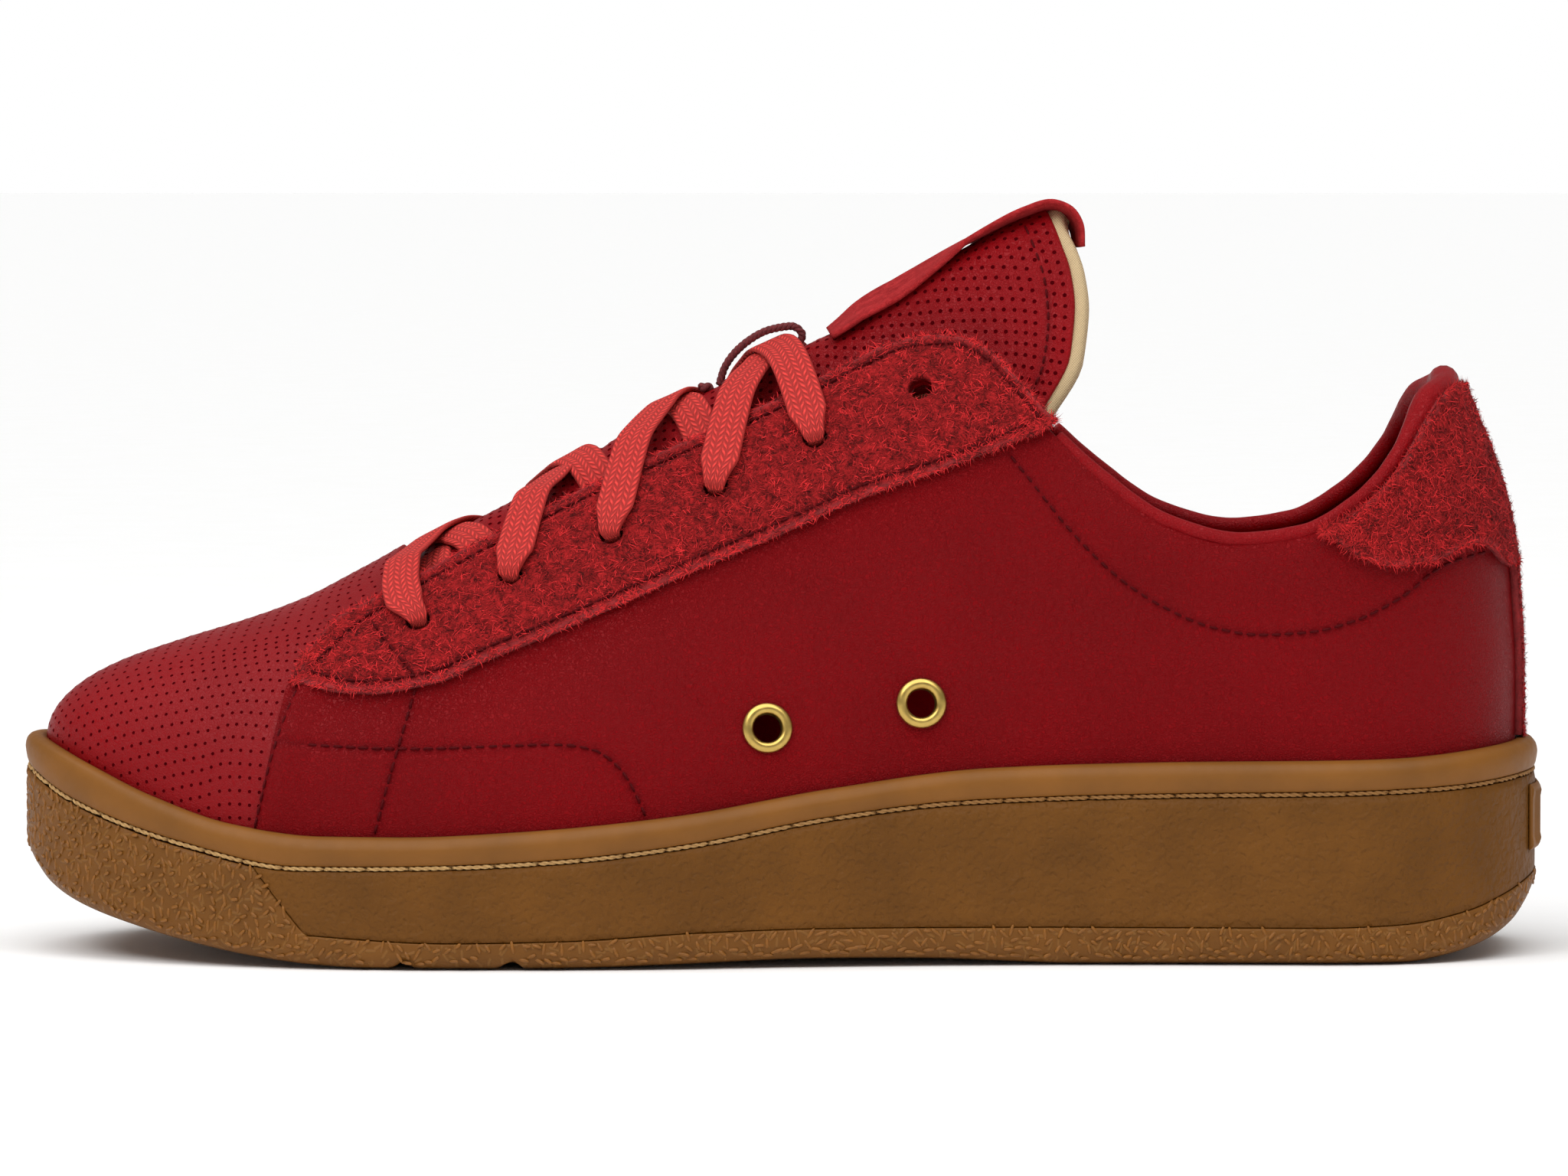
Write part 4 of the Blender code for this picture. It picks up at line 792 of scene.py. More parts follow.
def suede_nodes(dark, light, fibre):
    """Long-haired suede: matted fibres in streaks of light and dark, no gloss, and painted shade along the sunk
    seams.
    """
    def build(tree, place):
        where = (place, "Object")
        turned = mix(tree, 0.005, where, (noise(tree, where, 5, 2.0), "Color"), blend_type="LINEAR_LIGHT")
        streak = node(tree, "Mapping", {"Vector": turned, "Scale": (0.35, 1.0, 1.0)})
        hair = noise(tree, streak, fibre, 6.0, Roughness=0.75)
        clump = noise(tree, where, 2.2, 4.0, Roughness=0.65)
        both = reckon(tree, "ADD", hair, reckon(tree, "MULTIPLY", clump, 0.5))
        colour = mix(tree, levels(tree, both, 0.62, 0.88), dark, light)
        edged = mix(tree, reckon(tree, "MULTIPLY", mark(tree, "rim"), 0.55), colour, "#b4484a")
        # Painted shade: the colour darkens towards #4c060c along the seams, where the suede is drawn in.
        sunk_seam_shade = reckon(tree, "MULTIPLY", mark(tree, "seam"), 0.7)
        return {"Base Color": mix(tree, sunk_seam_shade, edged, "#4c060c"), "Normal": bump(tree, both, 1.0, 0.5)}
    return build


def fibre_nodes(dark, light):
    """Single hairs, each with its own tone."""
    def build(tree, place):
        both = reckon(tree, "ADD", mark(tree, "shade"), noise(tree, (place, "Object"), 3, 3.0))
        return {"Base Color": mix(tree, levels(tree, both, 0.55, 1.45), dark, light)}
    return build


def rice_nodes(dark, light):
    """Moulded gum with short raised rods like rice grains lying every way, painted lighter on the rods as a painted
    highlight.
    """
    def build(tree, place):
        layers = []
        for shift in (0.0, 0.0137):
            moved = node(tree, "VectorMath", {0: (place, "UV"), 1: (shift, shift * 0.7, 0)}, operation="ADD")
            cell = node(tree, "TexVoronoi", {"Vector": moved, "Scale": scale(3.0), "Randomness": 0.9},
                        voronoi_dimensions="2D")
            local = node(tree, "VectorMath", {0: moved, 1: (cell, "Position")}, operation="SUBTRACT")
            chance = node(tree, "SeparateColor", {0: (cell, "Color")})
            angle = reckon(tree, "MULTIPLY", (chance, "Red"), 2 * math.pi)
            turned = node(tree, "VectorRotate", {"Vector": local, "Angle": angle}, rotation_type="Z_AXIS")
            split = node(tree, "SeparateXYZ", {0: turned})
            past = reckon(tree, "SUBTRACT", reckon(tree, "ABSOLUTE", (split, "X")), 0.75 * MM)
            away = node(tree, "CombineXYZ", {0: reckon(tree, "MAXIMUM", past, 0.0), 1: (split, "Y")})
            far = node(tree, "VectorMath", {0: away}, operation="LENGTH")
            rod = levels(tree, (far, "Value"), 0.08 * MM, 0.42 * MM, 1.0, 0.0)
            rod.interpolation_type = "SMOOTHSTEP"
            layers.append(rod)
        shown = reckon(tree, "MULTIPLY", reckon(tree, "MAXIMUM", *layers), mark(tree, "grain"))
        mottle, pores = [noise(tree, (place, "Object"), *pattern) for pattern in ((9, 5.0), (0.9, 3.0))]
        colour = mix(tree, levels(tree, mottle, 0.3, 0.7), dark, light)
        relief = bump(tree, shown, 0.8, 0.35)
        # Painted highlight: the rods' colour is mixed towards the pale #b98a4e where they stand.
        return {"Base Color": mix(tree, reckon(tree, "MULTIPLY", shown, 0.3), colour, "#b98a4e"),
                "Normal": bump(tree, pores, 0.3, 0.3, relief)}
    return build


def pebble_nodes(dark, light, cell, strength):
    """Moulded gum with a pebbled, slightly wrinkled skin."""
    def build(tree, place):
        where = (place, "Object")
        fine, mottle = noise(tree, where, 1.6, 4.0), noise(tree, where, 14, 4.0)
        bent = mix(tree, 0.0012, where, (fine, "Color"), blend_type="LINEAR_LIGHT")
        bead = node(tree, "TexVoronoi", {"Vector": bent, "Scale": scale(cell)}, feature="SMOOTH_F1")
        beads = bump(tree, (bead, "Distance"), strength, 0.5)
        return {"Base Color": mix(tree, levels(tree, mottle, 0.3, 0.7), dark, light),
                "Roughness": levels(tree, fine, 0.0, 1.0, 0.45, 0.65),
                "Normal": bump(tree, fine, 0.25, 0.3, beads)}
    return build


def lace_nodes(dark, light):
    """Flat plaited cotton: columns of slanting plaits in a herringbone, along the lace's own UV."""
    def build(tree, place):
        split = node(tree, "SeparateXYZ", {0: (place, "UV")})
        across = reckon(tree, "DIVIDE", (split, "Y"), 1.25 * MM)
        inside = reckon(tree, "FRACT", across)
        parity = reckon(tree, "FLOORED_MODULO", reckon(tree, "FLOOR", across), 2.0)
        slant = reckon(tree, "MULTIPLY", inside, levels(tree, parity, 0.0, 1.0, -1.0, 1.0))
        both = reckon(tree, "ADD", reckon(tree, "DIVIDE", (split, "X"), 1.45 * MM), slant)
        plait = reckon(tree, "SINE", reckon(tree, "MULTIPLY", both, 2 * math.pi))
        off = reckon(tree, "ABSOLUTE", reckon(tree, "SUBTRACT", inside, 0.5))
        woven = reckon(tree, "MULTIPLY", levels(tree, plait, -0.9, 0.6), levels(tree, off, 0.5, 0.2))
        tone = reckon(tree, "MULTIPLY", woven, noise(tree, (place, "Object"), 0.5, 3.0))
        return {"Base Color": mix(tree, levels(tree, tone, 0.0, 0.55), dark, light),
                "Normal": bump(tree, woven, 0.9, 0.3)}
    return build


def cloth_nodes(dark, light, thread, strength=0.6):
    """Woven or brushed cloth: crossed threads with a soft fuzz over them."""
    def build(tree, place):
        where = (place, "Object")
        split = node(tree, "SeparateXYZ", {0: where})
        waves = [reckon(tree, "SINE", reckon(tree, "MULTIPLY", (split, way), 2 * math.pi * scale(thread)))
                 for way in ("X", "Z")]
        both = reckon(tree, "ADD", reckon(tree, "MULTIPLY", *waves), noise(tree, where, 0.7, 5.0))
        return {"Base Color": mix(tree, levels(tree, both, -0.5, 1.5), dark, light),
                "Normal": bump(tree, both, strength, 0.2)}
    return build


def yarn_nodes(dark, light, size):
    """Spun or foamed stuff: tone and relief change together over short distances."""
    def build(tree, place):
        fuzz = noise(tree, (place, "Object"), size, 5.0, Roughness=0.7)
        return {"Base Color": mix(tree, levels(tree, fuzz, 0.3, 0.7), dark, light),
                "Normal": bump(tree, fuzz, 0.6, 0.2)}
    return build


def hemp_nodes(dark, pale, stained):
    """Waxed hemp: pale at the toe and stained darker towards the heel."""
    def build(tree, place):
        split = node(tree, "SeparateXYZ", {0: (place, "Object")})
        light = mix(tree, levels(tree, (split, "X"), -0.06, 0.04), pale, stained)
        fuzz = noise(tree, (place, "Object"), 0.8, 4.0)
        return {"Base Color": mix(tree, fuzz, dark, light), "Normal": bump(tree, fuzz, 0.5, 0.2)}
    return build


def brass_nodes(dark, light):
    """Stamped brass with fine wear that dulls it unevenly."""
    def build(tree, place):
        wear = noise(tree, (place, "Object"), 1.2, 6.0)
        return {"Base Color": mix(tree, wear, dark, light),
                "Roughness": levels(tree, wear, 0.0, 1.0, 0.22, 0.45)}
    return build


MADE = {}


def finishes():
    """Every material, made once: its name, roughness, specular level and nodes."""
    if MADE:
        return MADE
    colours = bpy.context.scene.shoe_colours
    leather, suede, gum = colours.leather, colours.suede, colours.gum
    table = {
        "calf": ("drum-dyed calf leather", 0.4, 0.1, leather_nodes(*tones(leather, 1.0, 1.3), 0.75, 1.0)),
        "toe calf": ("smooth calf leather", 0.4, 0.17, leather_nodes(*tones(leather, 1.1, 1.5), 0.9, 0.5, 0.6)),
        # The lining is a much lighter copy of the leather's colour: painted light, brightened because the collar's
        # inside stands in shade.
        "lining": ("pigskin lining leather", 0.55, 0.25, leather_nodes(*tones(leather, 2.0, 2.7), 0.6, 0.4)),
        # Painted shade: the holes' dark floor and inner sides stand in for the shadow inside a punched hole.
        "hole": ("painted hole shade", 0.9, 0.0, yarn_nodes("#340105", "#500409", 0.4)),
        "tongue calf": ("soft glove leather", 0.42, 0.14, leather_nodes(*tones(leather, 1.2, 1.7), 0.8, 0.8)),
        "suede": ("long-haired suede", 0.95, 0.15, suede_nodes(*tones(suede, 0.1, 1.0), 0.4)),
        "hair": ("suede fibre", 0.85, 0.2, fibre_nodes(*tones(suede, 0.12, 1.5))),
        "nap": ("brushed split leather", 0.95, 0.15, suede_nodes("#a01c20", "#c83436", 0.3)),
        "thread": ("bonded polyester thread", 0.6, 0.1, yarn_nodes("#380004", "#5c0308", 0.3)),
        "rice gum": ("moulded rice-grain gum rubber", 0.5, 0.2, rice_nodes(*tones(gum, 0.75, 0.95))),
        # The raised grains take a lighter copy of the gum's colour, a painted highlight on the rods.
        "rice rod": ("gum rubber grain", 0.42, 0.3, yarn_nodes(*tones(gum, 0.9, 1.45), 1.5)),
        "pebble gum": ("pebbled gum rubber", 0.5, 0.15, pebble_nodes(*tones(gum, 0.65, 0.85), 1.3, 1.0)),
        "band gum": ("smooth gum rubber", 0.42, 0.25, pebble_nodes(*tones(gum, 0.95, 1.25), 3.5, 0.1)),
        "hemp": ("waxed hemp thread", 0.75, 0.5, hemp_nodes("#7c5222", "#dcb476", "#9a6c34")),
        "lace": ("plaited cotton lace", 0.8, 0.25, lace_nodes(*tones(colours.lace, 0.42, 1.0))),
        "cord": ("waxed round cord", 0.8, 0.5, yarn_nodes("#3c060a", "#7c2428", 0.5)),
        "cream": ("cream microfibre", 0.9, 0.5, cloth_nodes(*tones(colours.cream, 0.6, 1.0), 0.5, 0.4)),
        "brass": ("stamped brass", 0.3, 0.5, brass_nodes(*tones(colours.brass, 0.6, 1.0)), 1.0),
        "sock": ("brushed sock fabric", 0.95, 0.5, cloth_nodes("#6a0a12", "#9c1c22", 0.9)),
        "foam": ("open-cell foam", 0.95, 0.5, yarn_nodes("#c9bfa8", "#e4dcc8", 0.6)),
        "board": ("cellulose insole board", 0.9, 0.5, yarn_nodes("#a08a68", "#c8b694", 1.2)),
        "stiff": ("thermoplastic stiffener", 0.7, 0.5, yarn_nodes("#b8b0a0", "#d4ccbc", 2.0)),
        "floor": ("matt white paper sweep", 0.9, 0.5, yarn_nodes("#fdfdfc", "#ffffff", 30.0)),
    }
    for word, facts in table.items():
        MADE[word] = finish(*facts)
    return MADE


def sizes():
    """The sizes that a user can change."""
    return bpy.context.scene.shoe_sizes


# ---------------------------------------------------------------- grids of the upper's pieces

QUARTER_FRONT_X, COLLAR_X, SEAM_T = -99.4, 52.6, 0.9972
FRONT_COLUMNS, PANEL_ROWS = 13, np.linspace(0, 1, 8)
STATIONS = np.concatenate([np.linspace(0, 0.228, 7), np.linspace(0.228, 0.79, 16)[1:-1], np.linspace(0.79, 1,
                                                                                                     8)])


def whole(halves, rows, columns):
    """A fine grid over both halves of a piece that crosses the middle of the shoe."""
    return both_sides(*[refine(half, rows, columns) for half in halves])


def rear_stations():
    return STATIONS[STATIONS > along(COLLAR_X) + 0.012]


def line_at(outline, side, offset, t):
    """The q of a side-view outline at given stations."""
    line_t, line_q = locate(spread(outline, 24), side, offset)
    return curve(np.stack([line_t, line_q], 1))(t)


def lowered(outline, drop):
    """A side-view outline, followed from front to back, moved into the leather below it."""
    points = np.array(outline, float)
    heading = headings(points)
    return points + np.stack([heading[:, 1], -heading[:, 0]], 1) * drop


def skirt_q(t):
    """The q of the upper's lasted edge, just above the footbed inside the cup."""
    x = plan(t, MEDIAL, UPPER_INSET)[0]
    return height(t, FOOTBED(x) + 1.0)


def vamp_halves():
    halves = []
    for side in (MEDIAL, LATERAL):
        rear_t, rear_q = locate(spread(QUARTER_FRONT, 7), side, LEATHER[1])
        rear_t = np.concatenate([rear_t, along([-75.0, -73.5])])
        rear_q = np.concatenate([rear_q, [0.5 + rear_q[-1] / 2, 1.0]])
        share = np.linspace(0, 1, 11)[:, None] ** 0.75
        t = rear_t[None, :] * share
        q = np.repeat(rear_q[None, :], 11, 0)
        q[:, 0] = skirt_q(t[:, 0])
        q[:, 1] = skirt_q(t[:, 1]) * 0.4
        halves.append((t, q))
    return halves


def quarter_grid(side):
    """The (t, q) grid of a quarter: rows from its lasted edge up, columns from its front edge to the back seam."""
    front = spread(QUARTER_FRONT[2:], 4)[:-1] + (PLAY, 0)
    over = spread(THROAT + [(38.4, 117.2), (43.8, 110.6), (50.4, 103.6)], FRONT_COLUMNS) - (0, 0.4)
    front_t, front_q = locate(np.concatenate([front, over]), side, LEATHER[1])
    rear_t = rear_stations()
    drop = np.array([0.2, 1.2] + [1.9] * (len(TOPLINE) - 2))[:, None]
    rear_q = line_at(lowered(TOPLINE, drop), side, LEATHER[1], rear_t)
    top_t, top_q = np.concatenate([front_t, rear_t]), np.concatenate([front_q, rear_q])
    top_x = plan(top_t, side, UPPER_INSET)[0]
    slide = np.clip((-40 - top_x) / (-40 - top_x[0]), 0, 1) ** 1.5
    low_t = along(top_x + (QUARTER_FRONT_X - top_x[0]) * slide)
    top_t[-1] = low_t[-1] = SEAM_T
    share = PANEL_ROWS[:, None]
    t = np.concatenate([low_t[None, :], low_t[None, :] * (1 - share) + top_t[None, :] * share])
    q = np.concatenate([skirt_q(low_t)[None, :], top_q[None, :] * share])
    return t, q


def rear_halves(low, high, rows, first_x=None):
    """Halves of a piece round the heel, between two side-view lines given as (outline, offset)."""
    halves = []
    for side in (MEDIAL, LATERAL):
        t = rear_stations()
        if first_x is not None:
            t = np.concatenate([[float(along(first_x))], t[t > along(first_x) + 0.008]])
        ends = [line_at(outline, side, offset, t) for outline, offset in (low, high)]
        ends[1] = np.minimum(ends[1], height(t, np.max(np.array(high[0])[:, 1]) - 0.8
                                             - 1.8 * np.clip((t - 0.93) / 0.05, 0, 1)))
        q = ends[0][None, :] + (ends[1] - ends[0])[None, :] * np.array(rows)[:, None]
        halves.append((np.repeat(t[None, :], len(rows), 0), q))
    return halves


def tongue_halves(back):
    """Halves of the whole tongue; back moves its rear edge towards the toe."""
    halves = []
    share = np.linspace(0, 1, 8)[None, :]
    for side in (MEDIAL, LATERAL):
        low_t = np.linspace(float(along(TONGUE_START_X)), float(along(TONGUE_SPLIT[0])), 9)
        edge = line_at(TONGUE_SIDE, side, TONGUE_FACE[1], low_t)
        low_q = edge[:, None] * (1 - share) + share
        end_t, end_q = locate(spread([(x - back, z) for x, z in TONGUE_END], 14), side, TONGUE_FACE[1])
        end = curve(np.stack([np.concatenate([end_q, [1.0]]), np.concatenate([end_t, end_t[-1:] - 0.0005])], 1))
        start = float(along(TONGUE_SPLIT[1]))
        side_t = np.linspace(start, float(along(49.5 - back)), 6)
        edge = line_at(TONGUE_TOP_SIDE, side, TONGUE_FACE[1], side_t)
        top_q = edge[:, None] * (1 - share) + share
        top_t = start + (end(top_q) - start) * np.linspace(0, 1, 6)[:, None]
        halves.append((np.concatenate([np.repeat(low_t[:, None], 8, 1), top_t]), np.concatenate([low_q,
                                                                                                 top_q])))
    return halves


def crown(t, side, q):
    """How far the tongue rises between the eyestays, and beyond them under its pull strap."""
    t, side, q = np.broadcast_arrays(*(np.asarray(v, float) for v in (t, side, q)))
    x = plan(t, side, UPPER_INSET)[0]
    edge = np.where(side < 0, *[line_at(EYESTAY_UPPER, sign, OVERLAY[1], t) for sign, _ in SIDES])
    edge = np.where(x < 40, edge, 0.62)
    share = np.clip((q - edge) / (1 - edge) / 0.75, 0, 1)
    rise = curve([(-90, 1.9), (-5, 1.9), (8, 2.0), (14, 2.3), (22, 3.4), (31, 4.1), (42, 3.8), (56, 2.4)])(x)
    return rise * eased(share)


def hole_axis(place, side):
    """The centre and outward direction of a hole through the upper at a side-view point."""
    t, q = locate([place], side, LEATHER[1])
    centre = surface(t, side, q, LEATHER[1])[0]
    return centre, surface(t, side, q, LEATHER[1] + 1)[0] - centre


def ripples(amplitude, length, seed):
    """A smooth uneven rise and fall over a piece, as a function of points in space."""
    draw = np.random.default_rng(seed)
    ways = draw.normal(size=(9, 3))
    ways = unit(ways)
    turns = 2 * math.pi / (length * (0.7 + 0.8 * draw.random(9)))
    start = draw.random(9) * 2 * math.pi

    def rise(points):
        waves = np.sin(np.einsum("...k,nk->...n", points, ways * turns[:, None]) + start)
        return amplitude * waves.sum(-1) / 3

    return rise


# ---------------------------------------------------------------- sole

LOOP_COUNT = 240
LOOP_T = np.concatenate([np.linspace(0, 1, LOOP_COUNT), np.linspace(0, 1, LOOP_COUNT)[-2:0:-1]])
LOOP_SIDE = np.where(np.arange(len(LOOP_T)) < LOOP_COUNT, MEDIAL, LATERAL)


def rings(profile, t=LOOP_T, side=LOOP_SIDE):
    """One ring of points for each (inset, level) of a profile."""
    made = []
    for inset, level in profile:
        x, y = plan(t, side, inset)
        z = level(x) if callable(level) else np.full(len(x), level)
        made.append(np.stack([x, y, z], -1))
    return np.array(made)


def outline_run():
    """Distance along the sole's outline at each point of the loop."""
    edge = rings([(0, 0.0)])[0]
    return run_along(edge)


def across_plate(ring, columns):
    """A grid that fills a ring from its medial to its lateral side."""
    medial, lateral = ring[:LOOP_COUNT], np.concatenate([ring[:1], ring[:LOOP_COUNT - 2:-1]])
    share = np.linspace(0, 1, columns)[None, :, None]
    return medial[:, None] * (1 - share) + lateral[:, None] * share


def flex_lift(points, depth=1.5, half=1.4):
    """Raises the underside inside the grooves that the sole flexes at."""
    lifted = points.copy()
    for x, lean in FLEX_GROOVES:
        away = np.abs(points[..., 0] - x + lean * points[..., 1])
        low = np.clip(1 - (points[..., 2] - SOLE_BOTTOM(points[..., 0])) / 3, 0, 1)
        lifted[..., 2] += depth * low * np.clip(1.6 - away / half * 1.2, 0, 1)
    return lifted


def between(low, high, share):
    return lambda x: low(x) * (1 - share) + high(x) * share


def plate(name, profile, material, body, nodes, columns=24, bend=None, grain=None):
    """A plate across the whole shoe from rings at its edge, with its faces filled across."""
    edge = rings(profile)
    if bend:
        edge = bend(edge)
    bottom, top = across_plate(edge[0], columns), across_plate(edge[-1], columns)
    if bend:
        bottom = bend(bottom)
    rows, count = edge.shape[:2]
    vertices = np.concatenate([edge.reshape(-1, 3), bottom.reshape(-1, 3), top.reshape(-1, 3)])
    first, second = rows * count, rows * count + LOOP_COUNT * columns
    faces = np.concatenate([quads(rows, count, wrap=True), quads(LOOP_COUNT, columns, first),
                            quads(LOOP_COUNT, columns, second)])
    run = np.tile(outline_run(), (rows, 1))
    edge_uv = np.stack([run, edge[..., 2]], -1)
    flat = edge[..., 2] < SOLE_BOTTOM(edge[..., 0]) + 0.3
    edge_uv = np.where(flat[..., None], edge[..., :2], edge_uv).reshape(-1, 2)
    uv = np.concatenate([edge_uv, bottom[..., :2].reshape(-1, 2), top[..., :2].reshape(-1, 2)])
    mesh = raw_mesh(name, vertices, faces, uv, {"grain": grain(vertices)} if grain else None)
    face_out(mesh)
    return add_piece(name, mesh, [material], body, nodes)


def hoop(name, profile, material, nodes, t=LOOP_T, side=LOOP_SIDE, wrap=True, edges=None):
    """A closed band round the shoe, or a length of one."""
    edge = rings(profile, t, side) if edges is None else edges
    rows, count = edge.shape[:2]
    ring = np.concatenate([edge, edge[:1]])
    faces = quads(rows + 1, count, wrap=wrap).tolist()
    if not wrap:
        faces += [[r * count for r in range(rows)], [r * count + count - 1 for r in range(rows)]]
    run = run_along(edge[0])
    uv = np.stack([np.tile(run, (rows + 1, 1)), ring[..., 2]], -1).reshape(-1, 2)
    mesh = raw_mesh(name, ring.reshape(-1, 3), faces, uv)
    face_out(mesh)
    return add_piece(name, mesh, [material], "shoe", nodes)


class SHOE_OT_sole(bpy.types.Operator):
    """Outsole with its toe wrap, pebbled wall, smooth band and the ribbed badge at the heel"""
    bl_idname = "shoe.sole"
    bl_label = "Cup sole"

    def execute(self, context):
        look = finishes()
        floor = shifted(SOLE_BOTTOM, OUTSOLE_FLOOR)
        start = shifted(SOLE_BOTTOM, 3.0)
        corner = [(3.4, 0.0), (2.5, 0.12), (1.7, 0.4), (1.0, 0.9), (0.5, 1.5), (0.15, 2.2)]
        wall = [(0.0, between(start, outsole_top, s)) for s in np.linspace(0, 0.92, 9)]
        profile = ([(14.0, SOLE_BOTTOM), (7.0, SOLE_BOTTOM)]
                   + [(inset, shifted(SOLE_BOTTOM, up)) for inset, up in corner] + wall
                   + [(0.25, shifted(outsole_top, -0.08)), (0.7, outsole_top), (WALL_INSET, outsole_top),
                      (WALL_INSET, floor), (14.0, floor)])
        plate("outsole_gum", profile, look["rice gum"], "shoe", ["outsole"], bend=flex_lift,
              grain=lambda v: 0.4 + 0 * v[:, 0])

        t = np.linspace(float(along(WRAP_START_X, 0)), 1, LOOP_COUNT)
        path_t = np.concatenate([t, t[-2::-1]])
        path_side = np.where(np.arange(len(path_t)) < len(t), MEDIAL, LATERAL)
        ceiling = shifted(STITCH_LINE, -0.5)
        ground = lambda x: np.minimum(outsole_top(x) + 0.04, ceiling(x) - 0.02)
        sides = [(0.55, ground), (0.12, shifted(ground, 0.2))]
        sides += [(0.1, between(ground, ceiling, s)) for s in np.linspace(0.08, 0.92, 10)]
        sides += [(0.35, shifted(ceiling, -0.12)), (0.8, ceiling), (WALL_INSET, ceiling), (WALL_INSET, ground)]
        hoop("sidewall_gum", sides, look["pebble gum"], ["sidewall"], path_t, path_side, wrap=False)

        low, high = STITCH_LINE, BAND_TOP
        hoop("foxing_band_gum", [
            (0.7, shifted(low, 0.45)), (0.25, shifted(low, 0.65)), (0.0, shifted(low, 1.3)),
            (-0.2, shifted(low, 2.4)), (-0.3, shifted(low, 3.3)), (-0.2, between(low, high, 0.64)),
            (0.0, between(low, high, 0.75)), (0.3, shifted(high, -1.1)), (0.75, shifted(high, -0.55)),
            (1.35, shifted(high, -0.2)), (2.2, shifted(high, 0.02)), (WALL_INSET, shifted(high, 0.1)),
            (WALL_INSET, shifted(low, 0.45))], look["band gum"], ["foxing_band"])

        count = 61
        t = np.concatenate([np.linspace(0.945, 1, 31), np.linspace(1, 0.945, 31)[1:]])
        side = np.where(np.arange(count) < 31, MEDIAL, LATERAL)
        levels = [20.0, 20.3, 20.8, 21.6, 22.6, 29.8, 30.9, 31.7, 32.2, 32.7]
        insets = [-0.3, -0.7, -0.95, -0.95, -0.75, -0.75, -0.95, -0.95, -0.7, -0.3]
        edge = rings(list(zip(insets, levels)), t, side)
        ribs = 0.22 * np.cos(np.arange(count) * 2 * math.pi / 3)
        inside = (np.arange(count) > 4) & (np.arange(count) < count - 5)
        edge[3:7, :, 0] += np.where(inside, ribs, 0)[None, :]
        back = rings([(-0.1, 32.7), (-0.1, 20.0)], t, side)
        hoop("heel_badge_ribbed", None, look["band gum"], ["heel_badge"], wrap=False,
             edges=np.concatenate([edge, back]))
        return {"FINISHED"}


class SHOE_OT_rice_grains(bpy.types.Operator):
    """Raised grains on the toe wrap and along the outsole's rim"""
    bl_idname = "shoe.rice_grains"
    bl_label = "Rice grains"

    def execute(self, context):
        draw = random.Random(41)
        run = outline_run()
        outline = rings([(0.0, 0.0)])[0]
        cells, kept, spacing = {}, [], 1.5
        for _ in range(60000):
            r, share = draw.random() * run[-1], draw.random()
            x = float(np.interp(r, run, outline[:, 0]))
            low, high = float(SOLE_BOTTOM(x)) + 1.15, float(outsole_top(x)) - 0.5
            z = low + share * 22.0
            in_groove = z < low + 3 and any(abs(x - groove) < 3.5 for groove, _ in FLEX_GROOVES)
            if z > high or in_groove:
                continue
            cell = (int(r / spacing), int(z / spacing))
            near = [p for i in (-1, 0, 1) for j in (-1, 0, 1) for p in cells.get((cell[0] + i, cell[1] + j),
                                                                                 ())]
            if any((r - a) ** 2 + (z - b) ** 2 < spacing ** 2 for a, b in near):
                continue
            cells.setdefault(cell, []).append((r, z))
            lie = (draw.random() - 0.5) * math.pi * min(1.0, (z - low) / 2.2)
            kept.append((r, z, lie, 2.0 + 1.0 * draw.random()))
        kept = np.array(kept)
        t = np.interp(kept[:, 0], run, np.arange(len(run)))
        i = np.minimum(t.astype(int), len(run) - 2)
        f = t - i
        loop_t, loop_side = LOOP_T[i] * (1 - f) + LOOP_T[i + 1] * f, LOOP_SIDE[i]
        x, y = plan(loop_t, loop_side, 0.0)
        up = kept[:, 1] - SOLE_BOTTOM(x)
        tuck = np.interp(up, [0.0, 0.12, 0.4, 0.9, 1.5, 2.2], [3.4, 2.5, 1.7, 1.0, 0.5, 0.12])
        x_in, y_in = plan(loop_t, loop_side, 1.0)
        away = np.stack([x - x_in, y - y_in, 0 * x], 1)
        away = unit(away)
        away[:, 2] -= np.clip(1.6 - up, 0, 1) * 0.9
        x, y = plan(loop_t, loop_side, tuck)
        grains("rice_grains", np.stack([x, y, kept[:, 1]], 1), away, kept[:, 2], kept[:, 3], 0.8, 0.36,
               finishes()["rice rod"], ())
        return {"FINISHED"}


class SHOE_OT_sole_stitching(bpy.types.Operator):
    """Twisted hemp stitches in the groove between the band and the wall"""
    bl_idname = "shoe.sole_stitching"
    bl_label = "Sole stitching"

    def execute(self, context):
        x, y = plan(LOOP_T, LOOP_SIDE, 0.55)
        loop = np.stack([x, y, STITCH_LINE(x)], 1)
        loop = np.concatenate([loop, loop[:1]])
        run = run_along(loop)
        stitch = run[-1] / round(run[-1] / (sizes().sole_stitch / MM))
        paths = []
        for n in range(int(round(run[-1] / stitch))):
            span = np.linspace(n * stitch + 0.1, (n + 1) * stitch - 0.1, 15)
            centre = np.stack([np.interp(span, run, loop[:, k]) for k in range(3)], 1)
            heading = headings(centre)
            out = np.cross(heading, (0, 0, 1.0))
            out *= np.sign((out * (centre - (0, 0, 30))).sum(1, keepdims=True))
            up = np.cross(heading, out)
            dive = np.clip(np.minimum(span - span[0], span[-1] - span) / 1.1, 0, 1)
            centre = centre - out * (0.6 * (1 - dive) ** 2)[:, None]
            for ply in (0, math.pi):
                turn = span * 2 * math.pi / 3.2 + ply
                twist = out * np.cos(turn)[:, None] + up * np.sin(turn)[:, None]
                paths.append(centre + twist * 0.2)
        cords("sole_stitches", paths, [0.27] * len(paths), finishes()["hemp"], "shoe",
              ["sole_stitch_thread"], sides=5)
        return {"FINISHED"}


# ---------------------------------------------------------------- upper

